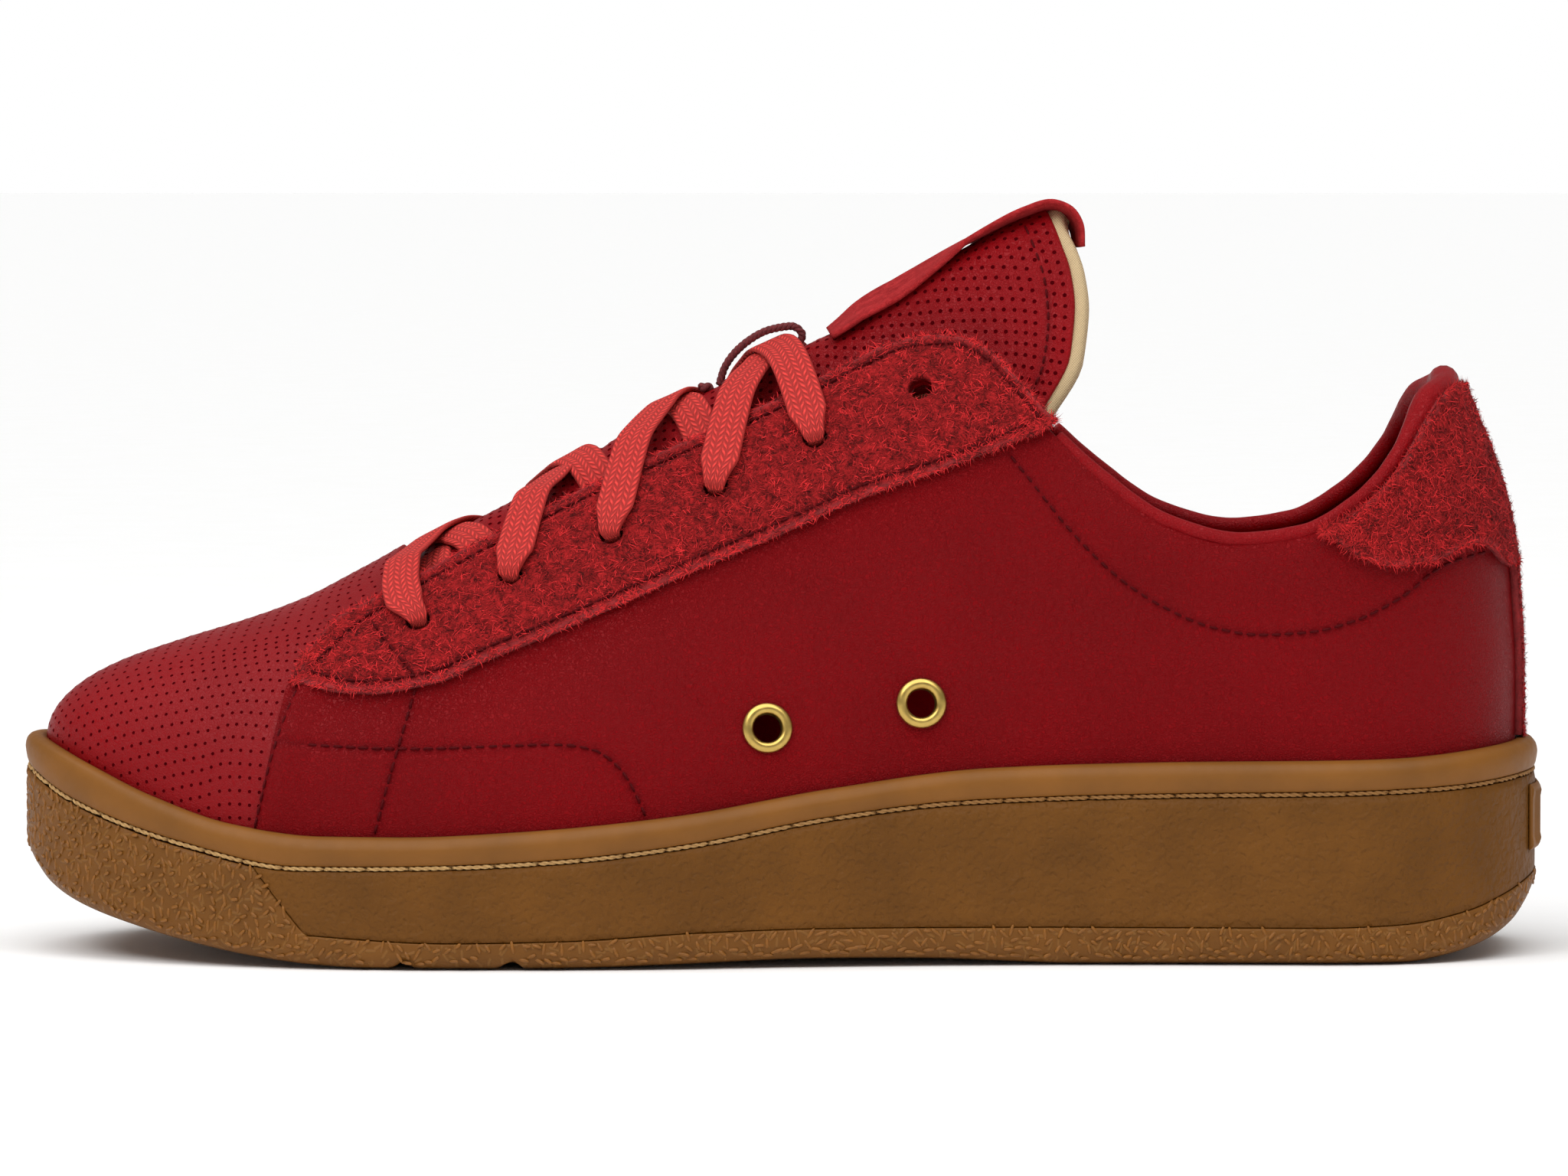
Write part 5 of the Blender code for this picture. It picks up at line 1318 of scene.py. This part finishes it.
class SHOE_OT_leather(bpy.types.Operator):
    """Vamp and quarters of calf leather, with punched rows over the toe"""
    bl_idname = "shoe.leather"
    bl_label = "Leather upper"

    def execute(self, context):
        look = finishes()
        overlap = [surface(*locate(spread(QUARTER_FRONT, 60), sign, LEATHER[1])[:1], sign,
                           locate(spread(QUARTER_FRONT, 60), sign, LEATHER[1])[1], LEATHER[1])
                   for sign, _ in SIDES]

        def near_overlap(t, side, q, full, none):
            """1 within a distance of the line where the quarters overlap the vamp, and 0 beyond another."""
            places = surface(t, side, q, LEATHER[1]).reshape(-1, 3)
            line = np.concatenate(overlap)
            far = np.min(np.linalg.norm(places[:, None] - line[None, :], axis=2), axis=1).reshape(t.shape)
            share = np.clip((none - far) / (none - full), 0, 1)
            return eased(share)

        def rolled(t, side, q):
            """Lift of the leather along the topline: it swells over the padding and turns in at its edge."""
            places = surface(t, side, q, LEATHER[1]).reshape(-1, 3)
            line = seam_points(TOPLINE, side[0, 0], LEATHER[1])[0]
            far = np.min(np.linalg.norm(places[:, None] - line[None, ::3], axis=2), axis=1).reshape(t.shape)
            turn = np.clip(far / 7.5, 0, 1)
            start = np.clip((places[:, 0].reshape(t.shape) - 52) / 8, 0, 1)
            return start * (0.5 * np.sin(math.pi * np.clip(far / 15, 0, 1))
                            - 2.1 * (1 - np.sqrt(1 - (1 - turn) ** 2)))

        t, side, q = whole(vamp_halves(), 90, 60)
        hidden = near_overlap(t, side, q, 0.6, 9.0)
        t = np.minimum(along(plan(t, side, UPPER_INSET)[0] + 3.2 * hidden), t + 0.05)
        made, outer, inner = panel("vamp_leather", t, side, q, LEATHER, [look["toe calf"]], ["vamp"],
                                   waves=ripples(0.10, 26, 3))
        places, normals = even_rows(outer, inner, sizes().hole_pitch / MM, 2.2, 1.2)
        keep = places[:, 2] > BAND_TOP(places[:, 0]) - 0.4
        perforations("vamp_perforations", places[keep], normals[keep], [look["toe calf"], look["hole"]],
                     radius=0.27)

        for sign, word in SIDES:
            t, q = refine(quarter_grid(sign), 60, 230)
            side = np.full(t.shape, sign)
            seams = [seam_points(line, sign, LEATHER[1])[0]
                     for line in (FRONT_SEAM, DIAGONAL_SEAM, LEVEL_SEAM, COLLAR_SEAM)]
            holes = [hole_axis(place, sign) for place in EYELETS]
            made = panel("quarter_%s_leather" % word, t, side, q, LEATHER, [look["calf"]],
                         ["quarter_" + word], np.concatenate(seams), holes=holes,
                         waves=ripples(0.12, 34, 5), lift=near_overlap(t, side, q, 3.4, 10.0) + rolled(t,
                                                                                                       side, q))[0]
            if sign == MEDIAL:
                subtract(made, pins([hole_axis(place, sign) for place in VENTS], 3.6))
        return {"FINISHED"}


class SHOE_OT_suede(bpy.types.Operator):
    """Eyestays, heel tab and backstay of long-haired suede with loose fibres"""
    bl_idname = "shoe.suede"
    bl_label = "Suede pieces"

    def execute(self, context):
        look = finishes()
        fibre = sizes().fibre / MM
        rough = ripples(0.17, 2.4, 8)
        layer = (LEATHER[1], OVERLAY[1] - 0.15)
        for sign, word in SIDES:
            low = locate(spread(EYESTAY_LOWER, 17), sign, OVERLAY[1])
            high = locate(spread(EYESTAY_UPPER, 17), sign, OVERLAY[1])
            share = np.linspace(0, 1, 5)[:, None]
            coarse = [low[k][None, :] * (1 - share) + high[k][None, :] * share for k in (0, 1)]
            t, q = refine(coarse, 34, 210)
            side = np.full(t.shape, sign)
            seams = np.concatenate([seam_points(line, sign, OVERLAY[1])[0]
                                    for line in (EYESTAY_SEAM, EYESTAY_LOW_SEAM, CORNER_SEAM)])
            holes = [hole_axis(place, sign) for place in EYELETS]
            panel("eyestay_%s_suede" % word, t, side, q, layer, [look["suede"]], ["eyestay_" + word],
                  seams, sink=0.5, holes=holes, waves=rough)
            nap("eyestay_%s_fibres" % word, t, side, q, layer[1], 21000, fibre, look["hair"], seed=11,
                avoid=np.array([centre for centre, _ in holes]), seams=seams)

        t, side, q = whole(rear_halves((HEEL_TAB_LOWER, OVERLAY[1]), (lowered(TOPLINE, 2.2), OVERLAY[1]),
                                       np.linspace(0, 1, 6), 105.2), 44, 60)
        panel("heel_tab_suede", t, side, q, layer, [look["suede"]], ["heel_tab"],
              waves=rough)
        nap("heel_tab_fibres", t, side, q, layer[1], 21000, fibre, look["hair"], lie=0.5, seed=12)

        half = np.array([0.97, 0.985, 1.0])
        top = line_at([(130, 75.6), (142.4, 75.6)], MEDIAL, OVERLAY[1], half)
        share = np.linspace(0, 1, 6)[:, None]
        stay = (np.repeat(half[None, :], 6, 0), 0.012 * (1 - share) + top[None, :] * share)
        t, side, q = whole([stay, stay], 30, 10)
        panel("backstay_suede", t, side, q, layer, [look["suede"]], ["backstay"],
              waves=rough)
        nap("backstay_fibres", t, side, q, layer[1], 3600, fibre, look["hair"], lie=0.5, seed=13)
        return {"FINISHED"}


class SHOE_OT_seams(bpy.types.Operator):
    """Rows of stitches through the upper"""
    bl_idname = "shoe.seams"
    bl_label = "Upper stitching"

    def execute(self, context):
        paths = []
        for sign, _ in SIDES:
            for line in (FRONT_SEAM, DIAGONAL_SEAM, LEVEL_SEAM, COLLAR_SEAM):
                raised = 0.9 if line is FRONT_SEAM else 0.0
                paths += stitch_paths(*seam_points(line, sign, LEATHER[1] + raised))
            for line in (EYESTAY_SEAM, EYESTAY_LOW_SEAM, CORNER_SEAM):
                paths += stitch_paths(*seam_points(line, sign, OVERLAY[1] - 0.25))
        cords("upper_stitches", paths, [0.24] * len(paths), finishes()["thread"], "shoe", (),
              sides=5)
        return {"FINISHED"}


class SHOE_OT_collar(bpy.types.Operator):
    """Padded collar with its perforated lining and rolled edge"""
    bl_idname = "shoe.collar"
    bl_label = "Collar"

    def execute(self, context):
        look = finishes()
        rows = [0.0, 0.2, 0.45, 0.72, 1.0]
        t, side, q = whole(rear_halves((COLLAR_SEAM, -0.6), (lowered(TOPLINE, 4.0), LEATHER[1]), rows), 44, 60)
        up = np.linspace(0, 1, t.shape[0])[:, None]
        bulge = curve([(0, 0.0), (0.2, 2.2), (0.45, 4.2), (0.72, 4.6), (1.0, 3.2)])(up)
        place = np.arange(t.shape[1]) / (t.shape[1] - 1)
        end = np.clip(np.minimum(place, 1 - place) / 0.12, 0, 1)[None, :]
        depth = bulge * end
        base = surface(t, side, q, -3.0 - depth)
        away = border_distance(base)
        soft = ripples(0.16, 16, 21)
        inner = surface(t, side, q, -3.0 - depth + rounded(away, 1.2) * 0.9 + soft(base) * np.clip(away / 4,
                                                                                                   0, 1))
        outer = surface(t, side, q, -0.35 + 0 * depth)
        made = shell("collar_pad", outer, inner, [look["lining"]], "shoe", ["collar_foam", "collar_lining"],
                     marks={"seam": 0 * t})
        places, normals = even_rows(inner, outer, 2.6, 2.3, 2.0)
        perforations("collar_perforations", places, normals, [look["lining"], look["hole"]], radius=0.32)

        edge = []
        for sign in (MEDIAL, LATERAL):
            t = np.concatenate([[float(along(53.0))], rear_stations()])
            q = line_at(np.vstack([(49.4, 105.2), lowered(TOPLINE, 1.1)]), sign, LEATHER[1], t)
            edge.append(surface(t, sign, q, -0.6))
        path = smooth_path(np.concatenate([edge[0], edge[1][-2::-1]]), 320)
        high = np.clip((path[:, 2] - 97) / 12, 0, 1) * np.clip((path[:, 0] - 95) / 10, 0, 1)
        pulse = 1.6 + 1.3 * eased(high) + 0.04 * np.sin(np.arange(320) * 0.7)
        path[:, 2] -= (pulse - 1.6) * 0.6
        cords("collar_edge", [path], [pulse], look["tongue calf"], "shoe", ["collar_piping"],
              sides=14)
        return {"FINISHED"}


class SHOE_OT_vents(bpy.types.Operator):
    """Brass eyelets for air in the medial quarter"""
    bl_idname = "shoe.vents"
    bl_label = "Vent eyelets"

    def execute(self, context):
        # Each step goes on from the last ring: its radius, and how far it lies above the leather.
        steps = [(3.3, -1.6), (3.3, 0.3), (4.6, 0.3), (4.8, 0.42), (4.8, 0.62), (4.55, 0.9), (4.1, 1.18),
                 (3.6, 1.28), (3.15, 1.12), (2.8, 0.75), (2.7, 0.3), (2.7, -1.6)]
        for place, word in zip(VENTS, ("front", "rear")):
            centre, normal = hole_axis(place, MEDIAL)
            deselect()
            bpy.ops.mesh.primitive_circle_add(vertices=64, radius=steps[0][0] * MM, fill_type="NOTHING")
            made = bpy.context.object
            bpy.ops.object.mode_set(mode="EDIT")
            bpy.ops.mesh.select_all(action="SELECT")
            bpy.ops.transform.translate(value=(0, 0, steps[0][1] * MM))
            for (was, low), (radius, high) in zip(steps, steps[1:]):
                bpy.ops.mesh.extrude_region_move(TRANSFORM_OT_translate={"value": (0, 0, (high - low) * MM)})
                bpy.ops.transform.resize(value=(radius / was, radius / was, 1),
                                         center_override=(0, 0, high * MM))
            bpy.ops.object.mode_set(mode="OBJECT")
            bm = bmesh.new()
            bm.from_mesh(made.data)
            rims = [e for e in bm.edges if e.is_boundary]
            bmesh.ops.bridge_loops(bm, edges=rims)
            bmesh.ops.recalc_face_normals(bm, faces=bm.faces)
            bm.to_mesh(made.data)
            bm.free()
            turn = Vector(normal).to_track_quat("Z", "Y").to_matrix().to_4x4()
            turn.translation = Vector(centre) * MM
            made.data.transform(turn)
            made.data.shade_smooth()
            made.name = made.data.name = "vent_eyelet_%s_brass" % word
            made.data.materials.append(finishes()["brass"])
            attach(made, "shoe")
            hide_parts("vent_eyelet_" + word)
        return {"FINISHED"}


class SHOE_OT_tongue(bpy.types.Operator):
    """Padded tongue with its perforated face, cream edge and pull strap"""
    bl_idname = "shoe.tongue"
    bl_label = "Tongue"
    bend = ("shoe", "tongue_top", (0.004, 0, 0.104), (0.014, 0, 0.104))

    def execute(self, context):
        look = finishes()
        t, side, q = whole(tongue_halves(2.2), 120, 46)
        base = surface(t, side, q, TONGUE_FACE[1])
        away = border_distance(base)
        soft = ripples(0.16, 14, 31)
        line = [(x - 7.2, z - 1.0) for x, z in TONGUE_END[1:]]
        seams = []
        for sign in (MEDIAL, LATERAL):
            seam_t, seam_q = locate(spread(line, 73), sign, TONGUE_FACE[1])
            level = TONGUE_FACE[1] + crown(seam_t, sign, seam_q)
            low = surface(seam_t, sign, seam_q, level)
            seams.append((low, surface(seam_t, sign, seam_q, level + 1) - low))
        close = seam_closeness(base.reshape(-1, 3), np.concatenate([s[0] for s in seams]), 0.7).reshape(t.shape)
        up = crown(t, side, q)
        outer = surface(t, side, q, up + TONGUE_FACE[1] - rounded(away, 0.5) - 0.3 * close + soft(base))
        inner = surface(t, side, q, up + TONGUE_FACE[0] - 0.25)
        face = shell("tongue_leather", outer, inner, [look["tongue calf"]], None,
                     ["tongue_lower_face", "tongue_top_face"], marks={"seam": close})
        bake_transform(face)

        places, normals = even_rows(outer, inner, 2.3, 2.05, 1.6)
        keep = seam_closeness(places, np.concatenate([s[0] for s in seams]), 0.7) < 0.3
        perforations("tongue_perforations", places[keep], normals[keep], [look["tongue calf"], look["hole"]],
                     radius=0.33, blend=self.bend)
        paths = [path for points, out in seams for path in stitch_paths(points, out)]
        cords("tongue_stitches", paths, [0.22] * len(paths), look["thread"], "tongue_top", (),
              sides=5)

        t, side, q = whole(tongue_halves(0.0), 110, 40)
        base = surface(t, side, q, TONGUE_PAD[1])
        away = border_distance(base)
        up = crown(t, side, q)
        outer = surface(t, side, q, up + TONGUE_PAD[1] + 0.45 - rounded(away, 1.3))
        inner = surface(t, side, q, up + TONGUE_PAD[0] + rounded(away, 1.3) + soft(base))
        pad = shell("tongue_pad", outer, inner, [look["cream"]], None,
                    ["tongue_lower_foam", "tongue_lower_lining", "tongue_top_foam", "tongue_top_lining"])
        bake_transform(pad)

        path = smooth_path([(x, 0, z) for x, z in PULL_STRAP], 90)
        heading = headings(path)
        roll = np.radians(curve([(0, 8), (0.2, 16), (0.42, 7), (0.6, -7), (0.85, -13), (1, -6)])
                          (np.linspace(0, 1, 90)))[:, None]
        up = np.cross(heading, (0, 1.0, 0))
        up *= np.sign(up[:, 2:3] + 1e-9)
        path = path - up * 3.4 * np.abs(np.sin(roll))
        run = np.linspace(0, 1, 90)
        path = path + up * (1.3 * np.clip(1 - run / 0.25, 0, 1))[:, None]
        path[:, 0] -= 1.3 * np.clip((run - 0.8) / 0.2, 0, 1)
        broad = np.array((0, 1.0, 0)) * np.cos(roll) + up * np.sin(roll)
        thin = np.cross(heading, broad)
        angles = np.arange(24) * 2 * math.pi / 24
        wide = np.sign(np.cos(angles)) * np.abs(np.cos(angles)) ** 0.25 * 6.5
        tall = np.sign(np.sin(angles)) * np.abs(np.sin(angles)) ** 0.6 * 0.65
        points = path[:, None] + thin[:, None] * tall[None, :, None] + broad[:, None] * wide[None, :, None]
        faces = quads(90, 24, wrap=True).tolist() + [list(range(24)), list(range(89 * 24, 90 * 24))]
        mesh = raw_mesh("pull_strap_nap", points.reshape(-1, 3), faces)
        face_out(mesh)
        add_piece("pull_strap_nap", mesh, [look["nap"]], "tongue_top", ["pull_strap"])
        return {"FINISHED"}


# ---------------------------------------------------------------- lacing

def eyelet_place(index, side):
    """An eyelet as (t, s), where s runs across the shoe from -1 at the medial band to 1 at the lateral one."""
    t, q = locate([EYELETS[index]], side, LEATHER[1])
    return np.array([t[0], side * (1 - q[0])])


def across_place(place, offset):
    """The point and the outward normal at (t, s)."""
    side = MEDIAL if place[1] < 0 else LATERAL
    q = min(1 - abs(place[1]), 0.9985)
    low = surface(place[0], side, q, offset)
    return low, surface(place[0], side, q, offset + 1) - low


def strand(start, end, levels, bow=0.0):
    """Points of a lace between two places, bowed towards the toe: levels are (share of the way, offset)."""
    level = curve(levels)
    steps = np.linspace(0.08, 0.92, 12)
    return [across_place(start * (1 - f) + end * f - (bow * math.sin(math.pi * f ** 0.7), 0), float(level(f)))
            for f in steps]


def hole_pass(place, outward):
    """Points of a lace through an eyelet, from inside to outside or back into the shoe."""
    made = [across_place(place, level) for level in (-2.3, -0.6, 1.2, 2.6, 3.9)]
    return made if outward else made[::-1]


def lace_half(side, lane):
    """One half of the lace, from inside the first eyelet to its tail behind the fifth."""
    near, far = side, -side
    route = []
    over_under = {"high": [(0, OVER), (0.2, OVER), (0.36, 1.0), (0.5, 0.3), (0.68, -0.5), (0.8, UNDER),
                           (1, UNDER)],
                  "low": [(0, OVER), (0.2, OVER), (0.34, 0.4), (0.5, -1.0), (0.68, -1.3), (0.8, UNDER),
                          (1, UNDER)]}
    in_loop = {"high": 1.85, "low": 0.6}[lane]
    for index in (0, 1, 2, 3):
        start, end = eyelet_place(index, near), eyelet_place(index + 1, far)
        route += hole_pass(start, outward=True)
        if index < 3:
            route += strand(start, end, over_under[lane], bow=0.02 if index == 0 else 0.0)
        else:
            route += strand(start, end, [(0, OVER), (0.19, OVER), (0.4, in_loop), (0.6, in_loop), (0.81, OVER),
                                         (1, OVER)])
        near, far = far, near
    last = eyelet_place(4, near)
    tail = locate([(20.0, 97.0)], near, LEATHER[1])
    tail = np.array([tail[0][0], near * (1 - tail[1][0])])
    route += hole_pass(last, outward=False)
    route += [across_place(last * (1 - f) + tail * f, UNDER) for f in (0.3, 0.65, 1.0)]
    return route


class SHOE_OT_lacing(bpy.types.Operator):
    """Flat plaited lace through both rows of eyelets, and the cord loop that keeps it on the tongue"""
    bl_idname = "shoe.lacing"
    bl_label = "Lacing"

    def execute(self, context):
        look = finishes()
        bar = strand(eyelet_place(0, LATERAL), eyelet_place(0, MEDIAL),
                     [(0, UNDER), (1, UNDER)])
        route = lace_half(LATERAL, "low")[::-1] + bar + lace_half(MEDIAL, "high")
        centres = np.array([point for point, normal in route])
        normals = np.array([normal for point, normal in route])
        heading = headings(centres)
        broad = np.zeros_like(centres)
        last = np.cross(normals[0], heading[0])
        for i in range(len(centres)):
            flat = np.cross(normals[i], heading[i])
            if np.linalg.norm(flat) > 0.5:
                last = flat * (1 if np.dot(flat, last) >= 0 else -1)
            last = last - heading[i] * np.dot(last, heading[i])
            last = last / np.linalg.norm(last)
            broad[i] = last
        holes = [across_place(eyelet_place(i, side), 0.8)[0] for i in range(5) for side in (MEDIAL, LATERAL)]
        count = 1500
        run = run_along(centres)
        even = np.linspace(0, run[-1], count)
        path = smooth_path(centres, count)
        wide_way = np.stack([np.interp(even, run, broad[:, k]) for k in range(3)], 1)
        heading = headings(path)
        wide_way -= heading * (wide_way * heading).sum(1, keepdims=True)
        wide_way = unit(wide_way)
        thin = np.cross(heading, wide_way)
        nearest = np.array([min(np.linalg.norm(c - hole) for hole in holes) for c in path])
        open_share = np.clip((nearest - 1.6) / 5.0, 0, 1)
        open_share = eased(open_share)
        width = LACE_NECK + (sizes().lace_width / MM - LACE_NECK) * open_share
        thick = 2.2 + (sizes().lace_thickness / MM - 2.2) * open_share
        sides = 20
        angles = np.arange(sides) * 2 * math.pi / sides
        wide = np.sign(np.cos(angles)) * np.abs(np.cos(angles)) ** 0.5 / 2
        tall = np.sign(np.sin(angles)) * np.abs(np.sin(angles)) ** 0.7 / 2
        lateral = wide[None, :] * width[:, None]
        points = (path[:, None] + wide_way[:, None] * lateral[..., None]
                  + thin[:, None] * (tall[None, :] * thick[:, None])[..., None])
        uv = np.stack([np.repeat(even[:, None], sides, 1), np.tile(wide * 7.6 + 20, (count, 1))], -1)
        faces = quads(count, sides, wrap=True).tolist()
        faces += [list(range(sides)), list(range((count - 1) * sides, count * sides))]
        mesh = raw_mesh("lace_plaited", points.reshape(-1, 3), faces, uv.reshape(-1, 2))
        face_out(mesh)
        add_piece("lace_plaited", mesh, [look["lace"]], "shoe", ["lace"])

        loop = smooth_path([(x, 0, z) for x, z in KEEPER_LOOP + KEEPER_LOOP[:1]], 180)
        heading = headings(loop)
        up = np.cross(heading, (0, 1.0, 0))
        paths = []
        turns = np.linspace(0, 2 * math.pi * 14, 180)
        for ply in np.arange(3) * 2 * math.pi / 3:
            paths.append(loop + up * (0.36 * np.cos(turns + ply))[:, None]
                         + np.array((0, 1.0, 0)) * (0.36 * np.sin(turns + ply))[:, None])
        cords("keeper_cord", paths, [0.46] * 3, look["cord"], "shoe", ["lace_keeper"], sides=7)
        a = np.linspace(0, 2 * math.pi, 60)
        knot = np.stack([np.sin(a) + 2 * np.sin(2 * a), np.cos(a) - 2 * np.cos(2 * a), -np.sin(3 * a)],
                        1) * 0.36
        cords("keeper_knot_cord", [knot + (KNOT_X, 0, KNOT_Z)], [0.62], look["cord"], "shoe", ["keeper_knot"],
              sides=8)
        return {"FINISHED"}


class SHOE_OT_inside(bpy.types.Operator):
    """Sock liner, and the finishes of the linings and hidden layers"""
    bl_idname = "shoe.inside"
    bl_label = "Inside"

    def execute(self, context):
        look = finishes()
        base, top = 2.8, 7.0
        profile = [(14.0, shifted(FOOTBED, base)), (LINER_INSET, shifted(FOOTBED, base)),
                   (LINER_INSET - 0.3, shifted(FOOTBED, base + 2.4)), (LINER_INSET, shifted(FOOTBED,
                                                                                            top - 0.7)),
                   (LINER_INSET + 0.6, shifted(FOOTBED, top - 0.2)), (LINER_INSET + 1.4, shifted(FOOTBED, top)),
                   (14.0, shifted(FOOTBED, top))]
        plate("sock_liner_cloth", profile, look["sock"], "sockliner", ["sockliner"])
        hidden = {"midsole_core": "foam", "insole_board": "board", "vamp_lining": "lining", "toe_puff": "stiff",
                  "quarter_lining_medial": "lining", "quarter_lining_lateral": "lining", "heel_counter": "stiff"}
        for name, word in hidden.items():
            for place in NODES[name].material_slots:
                place.material = look[word]
        return {"FINISHED"}


# ---------------------------------------------------------------- stage

def aim(obj, target):
    """Points a light or camera at a place."""
    way = Vector(target) - obj.location
    obj.rotation_euler = way.to_track_quat("-Z", "Y").to_euler()


class SHOE_OT_stage(bpy.types.Operator):
    """Pale floor, soft lights and the camera"""
    bl_idname = "shoe.stage"
    bl_label = "Stage"

    def execute(self, context):
        deselect()
        bpy.ops.mesh.primitive_plane_add(size=60, location=(0, 0, -0.0002))
        floor = bpy.context.object
        floor.name = "floor"
        floor.data.materials.append(finishes()["floor"])

        bpy.ops.object.light_add(type="SUN", location=(-0.2, -0.35, 1.2))
        sky = bpy.context.object
        sky.data.energy = context.scene.shoe_colours.light
        sky.data.angle = math.radians(70)
        aim(sky, (0, 0, 0))
        for place, size, power in (((-0.55, -0.75, 0.8), 0.35, 2.2), ((0.5, -0.5, 0.9), 0.4, 1.6)):
            bpy.ops.object.light_add(type="AREA", location=place)
            lamp = bpy.context.object
            lamp.data.size = size
            lamp.data.energy = power
            aim(lamp, (0, 0, 0.06))

        world = bpy.data.worlds.new("studio")
        context.scene.world = world
        world.use_nodes = True
        tree = world.node_tree
        background = tree.nodes["Background"]
        background.inputs["Color"].default_value = (1.0, 1.0, 1.0, 1.0)
        place = node(tree, "TexCoord")
        split = node(tree, "SeparateXYZ", {0: (place, "Generated")})
        level = node(tree, "Math", {0: (split, "Z")}, operation="ABSOLUTE")
        low = node(tree, "MapRange", {"Value": level, "From Min": 0.04, "From Max": 0.16, "To Min": 1.0,
                                      "To Max": 0.32})
        tree.links.new(low.outputs[0], background.inputs["Strength"])

        # The camera stands a little above the collar and looks at the shoe's medial side.
        elevation, turn, distance, frame_width = math.radians(3.2), math.radians(1.5), 1.5, 0.3038
        target = Vector((0.0004, -0.015, 0.0706))
        way = Vector((math.sin(turn) * math.cos(elevation), -math.cos(turn) * math.cos(elevation),
                      math.sin(elevation)))
        bpy.ops.object.camera_add(location=target + distance * way)
        camera = bpy.context.object
        aim(camera, target)
        camera.data.sensor_width = 36.0
        camera.data.lens = 36.0 * distance / frame_width
        context.scene.camera = camera
        context.scene.view_settings.view_transform = "Standard"
        return {"FINISHED"}


OPERATORS = (SHOE_OT_stage, SHOE_OT_sole, SHOE_OT_rice_grains, SHOE_OT_sole_stitching, SHOE_OT_leather,
             SHOE_OT_suede, SHOE_OT_seams,
             SHOE_OT_collar, SHOE_OT_vents, SHOE_OT_tongue, SHOE_OT_lacing, SHOE_OT_inside)


class ShoeSizes(bpy.types.PropertyGroup):
    """Sizes of the details."""
    lace_width: bpy.props.FloatProperty(name="Lace width", description="Width of the flat lace",
                                        default=7.6 * MM, unit="LENGTH")
    lace_thickness: bpy.props.FloatProperty(name="Lace thickness", description="Thickness of the flat lace",
                                            default=1.1 * MM, unit="LENGTH")
    seam_stitch: bpy.props.FloatProperty(name="Seam stitch", description="Length of a stitch in the upper",
                                         default=2.4 * MM, unit="LENGTH")
    sole_stitch: bpy.props.FloatProperty(name="Sole stitch", description="Length of a stitch in the sole",
                                         default=8.2 * MM, unit="LENGTH")
    hole_pitch: bpy.props.FloatProperty(name="Perforation pitch", description="Distance between punched holes",
                                        default=2.6 * MM, unit="LENGTH")
    fibre: bpy.props.FloatProperty(name="Fibre length", description="Length of the suede's loose fibres",
                                   default=1.5 * MM, unit="LENGTH")


class ShoeColours(bpy.types.PropertyGroup):
    """Colours of the materials, and the light."""
    leather: bpy.props.FloatVectorProperty(name="Leather", description="Colour of the calf leather",
                                           subtype="COLOR", min=0, max=1, default=linear("#730006")[:3])
    suede: bpy.props.FloatVectorProperty(name="Suede", description="Colour of the long-haired suede",
                                         subtype="COLOR", min=0, max=1, default=linear("#b82224")[:3])
    gum: bpy.props.FloatVectorProperty(name="Gum rubber", description="Colour of the sole",
                                       subtype="COLOR", min=0, max=1, default=linear("#774a16")[:3])
    lace: bpy.props.FloatVectorProperty(name="Lace", description="Colour of the flat lace",
                                        subtype="COLOR", min=0, max=1, default=linear("#e8423c")[:3])
    cream: bpy.props.FloatVectorProperty(name="Tongue edge", description="Colour of the tongue's backing",
                                         subtype="COLOR", min=0, max=1, default=linear("#d8bc90")[:3])
    brass: bpy.props.FloatVectorProperty(name="Vents", description="Colour of the vents' metal",
                                         subtype="COLOR", min=0, max=1, default=linear("#d8b664")[:3])
    light: bpy.props.FloatProperty(name="Light", description="Strength of the soft light from above",
                                   default=2.3)


class SHOE_PT_panel(bpy.types.Panel):
    """The shoe's sizes and the pieces to make"""
    bl_idname = "SHOE_PT_panel"
    bl_label = "Court shoe"
    bl_space_type = "VIEW_3D"
    bl_region_type = "UI"
    bl_category = "Court shoe"

    def draw(self, context):
        for word in ShoeSizes.__annotations__:
            self.layout.prop(context.scene.shoe_sizes, word)
        for word in ShoeColours.__annotations__:
            self.layout.prop(context.scene.shoe_colours, word)
        for made in OPERATORS:
            self.layout.operator(made.bl_idname)


CLASSES = (ShoeSizes, ShoeColours, *OPERATORS, SHOE_PT_panel)


def register():
    for made in CLASSES:
        bpy.utils.register_class(made)
    bpy.types.Scene.shoe_sizes = bpy.props.PointerProperty(type=ShoeSizes)
    bpy.types.Scene.shoe_colours = bpy.props.PointerProperty(type=ShoeColours)


def unregister():
    del bpy.types.Scene.shoe_sizes
    del bpy.types.Scene.shoe_colours
    for made in reversed(CLASSES):
        bpy.utils.unregister_class(made)


def main():
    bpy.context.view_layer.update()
    register()
    for made in OPERATORS:
        area, word = made.bl_idname.split(".")
        getattr(getattr(bpy.ops, area), word)()


if __name__ == "__main__":
    main()
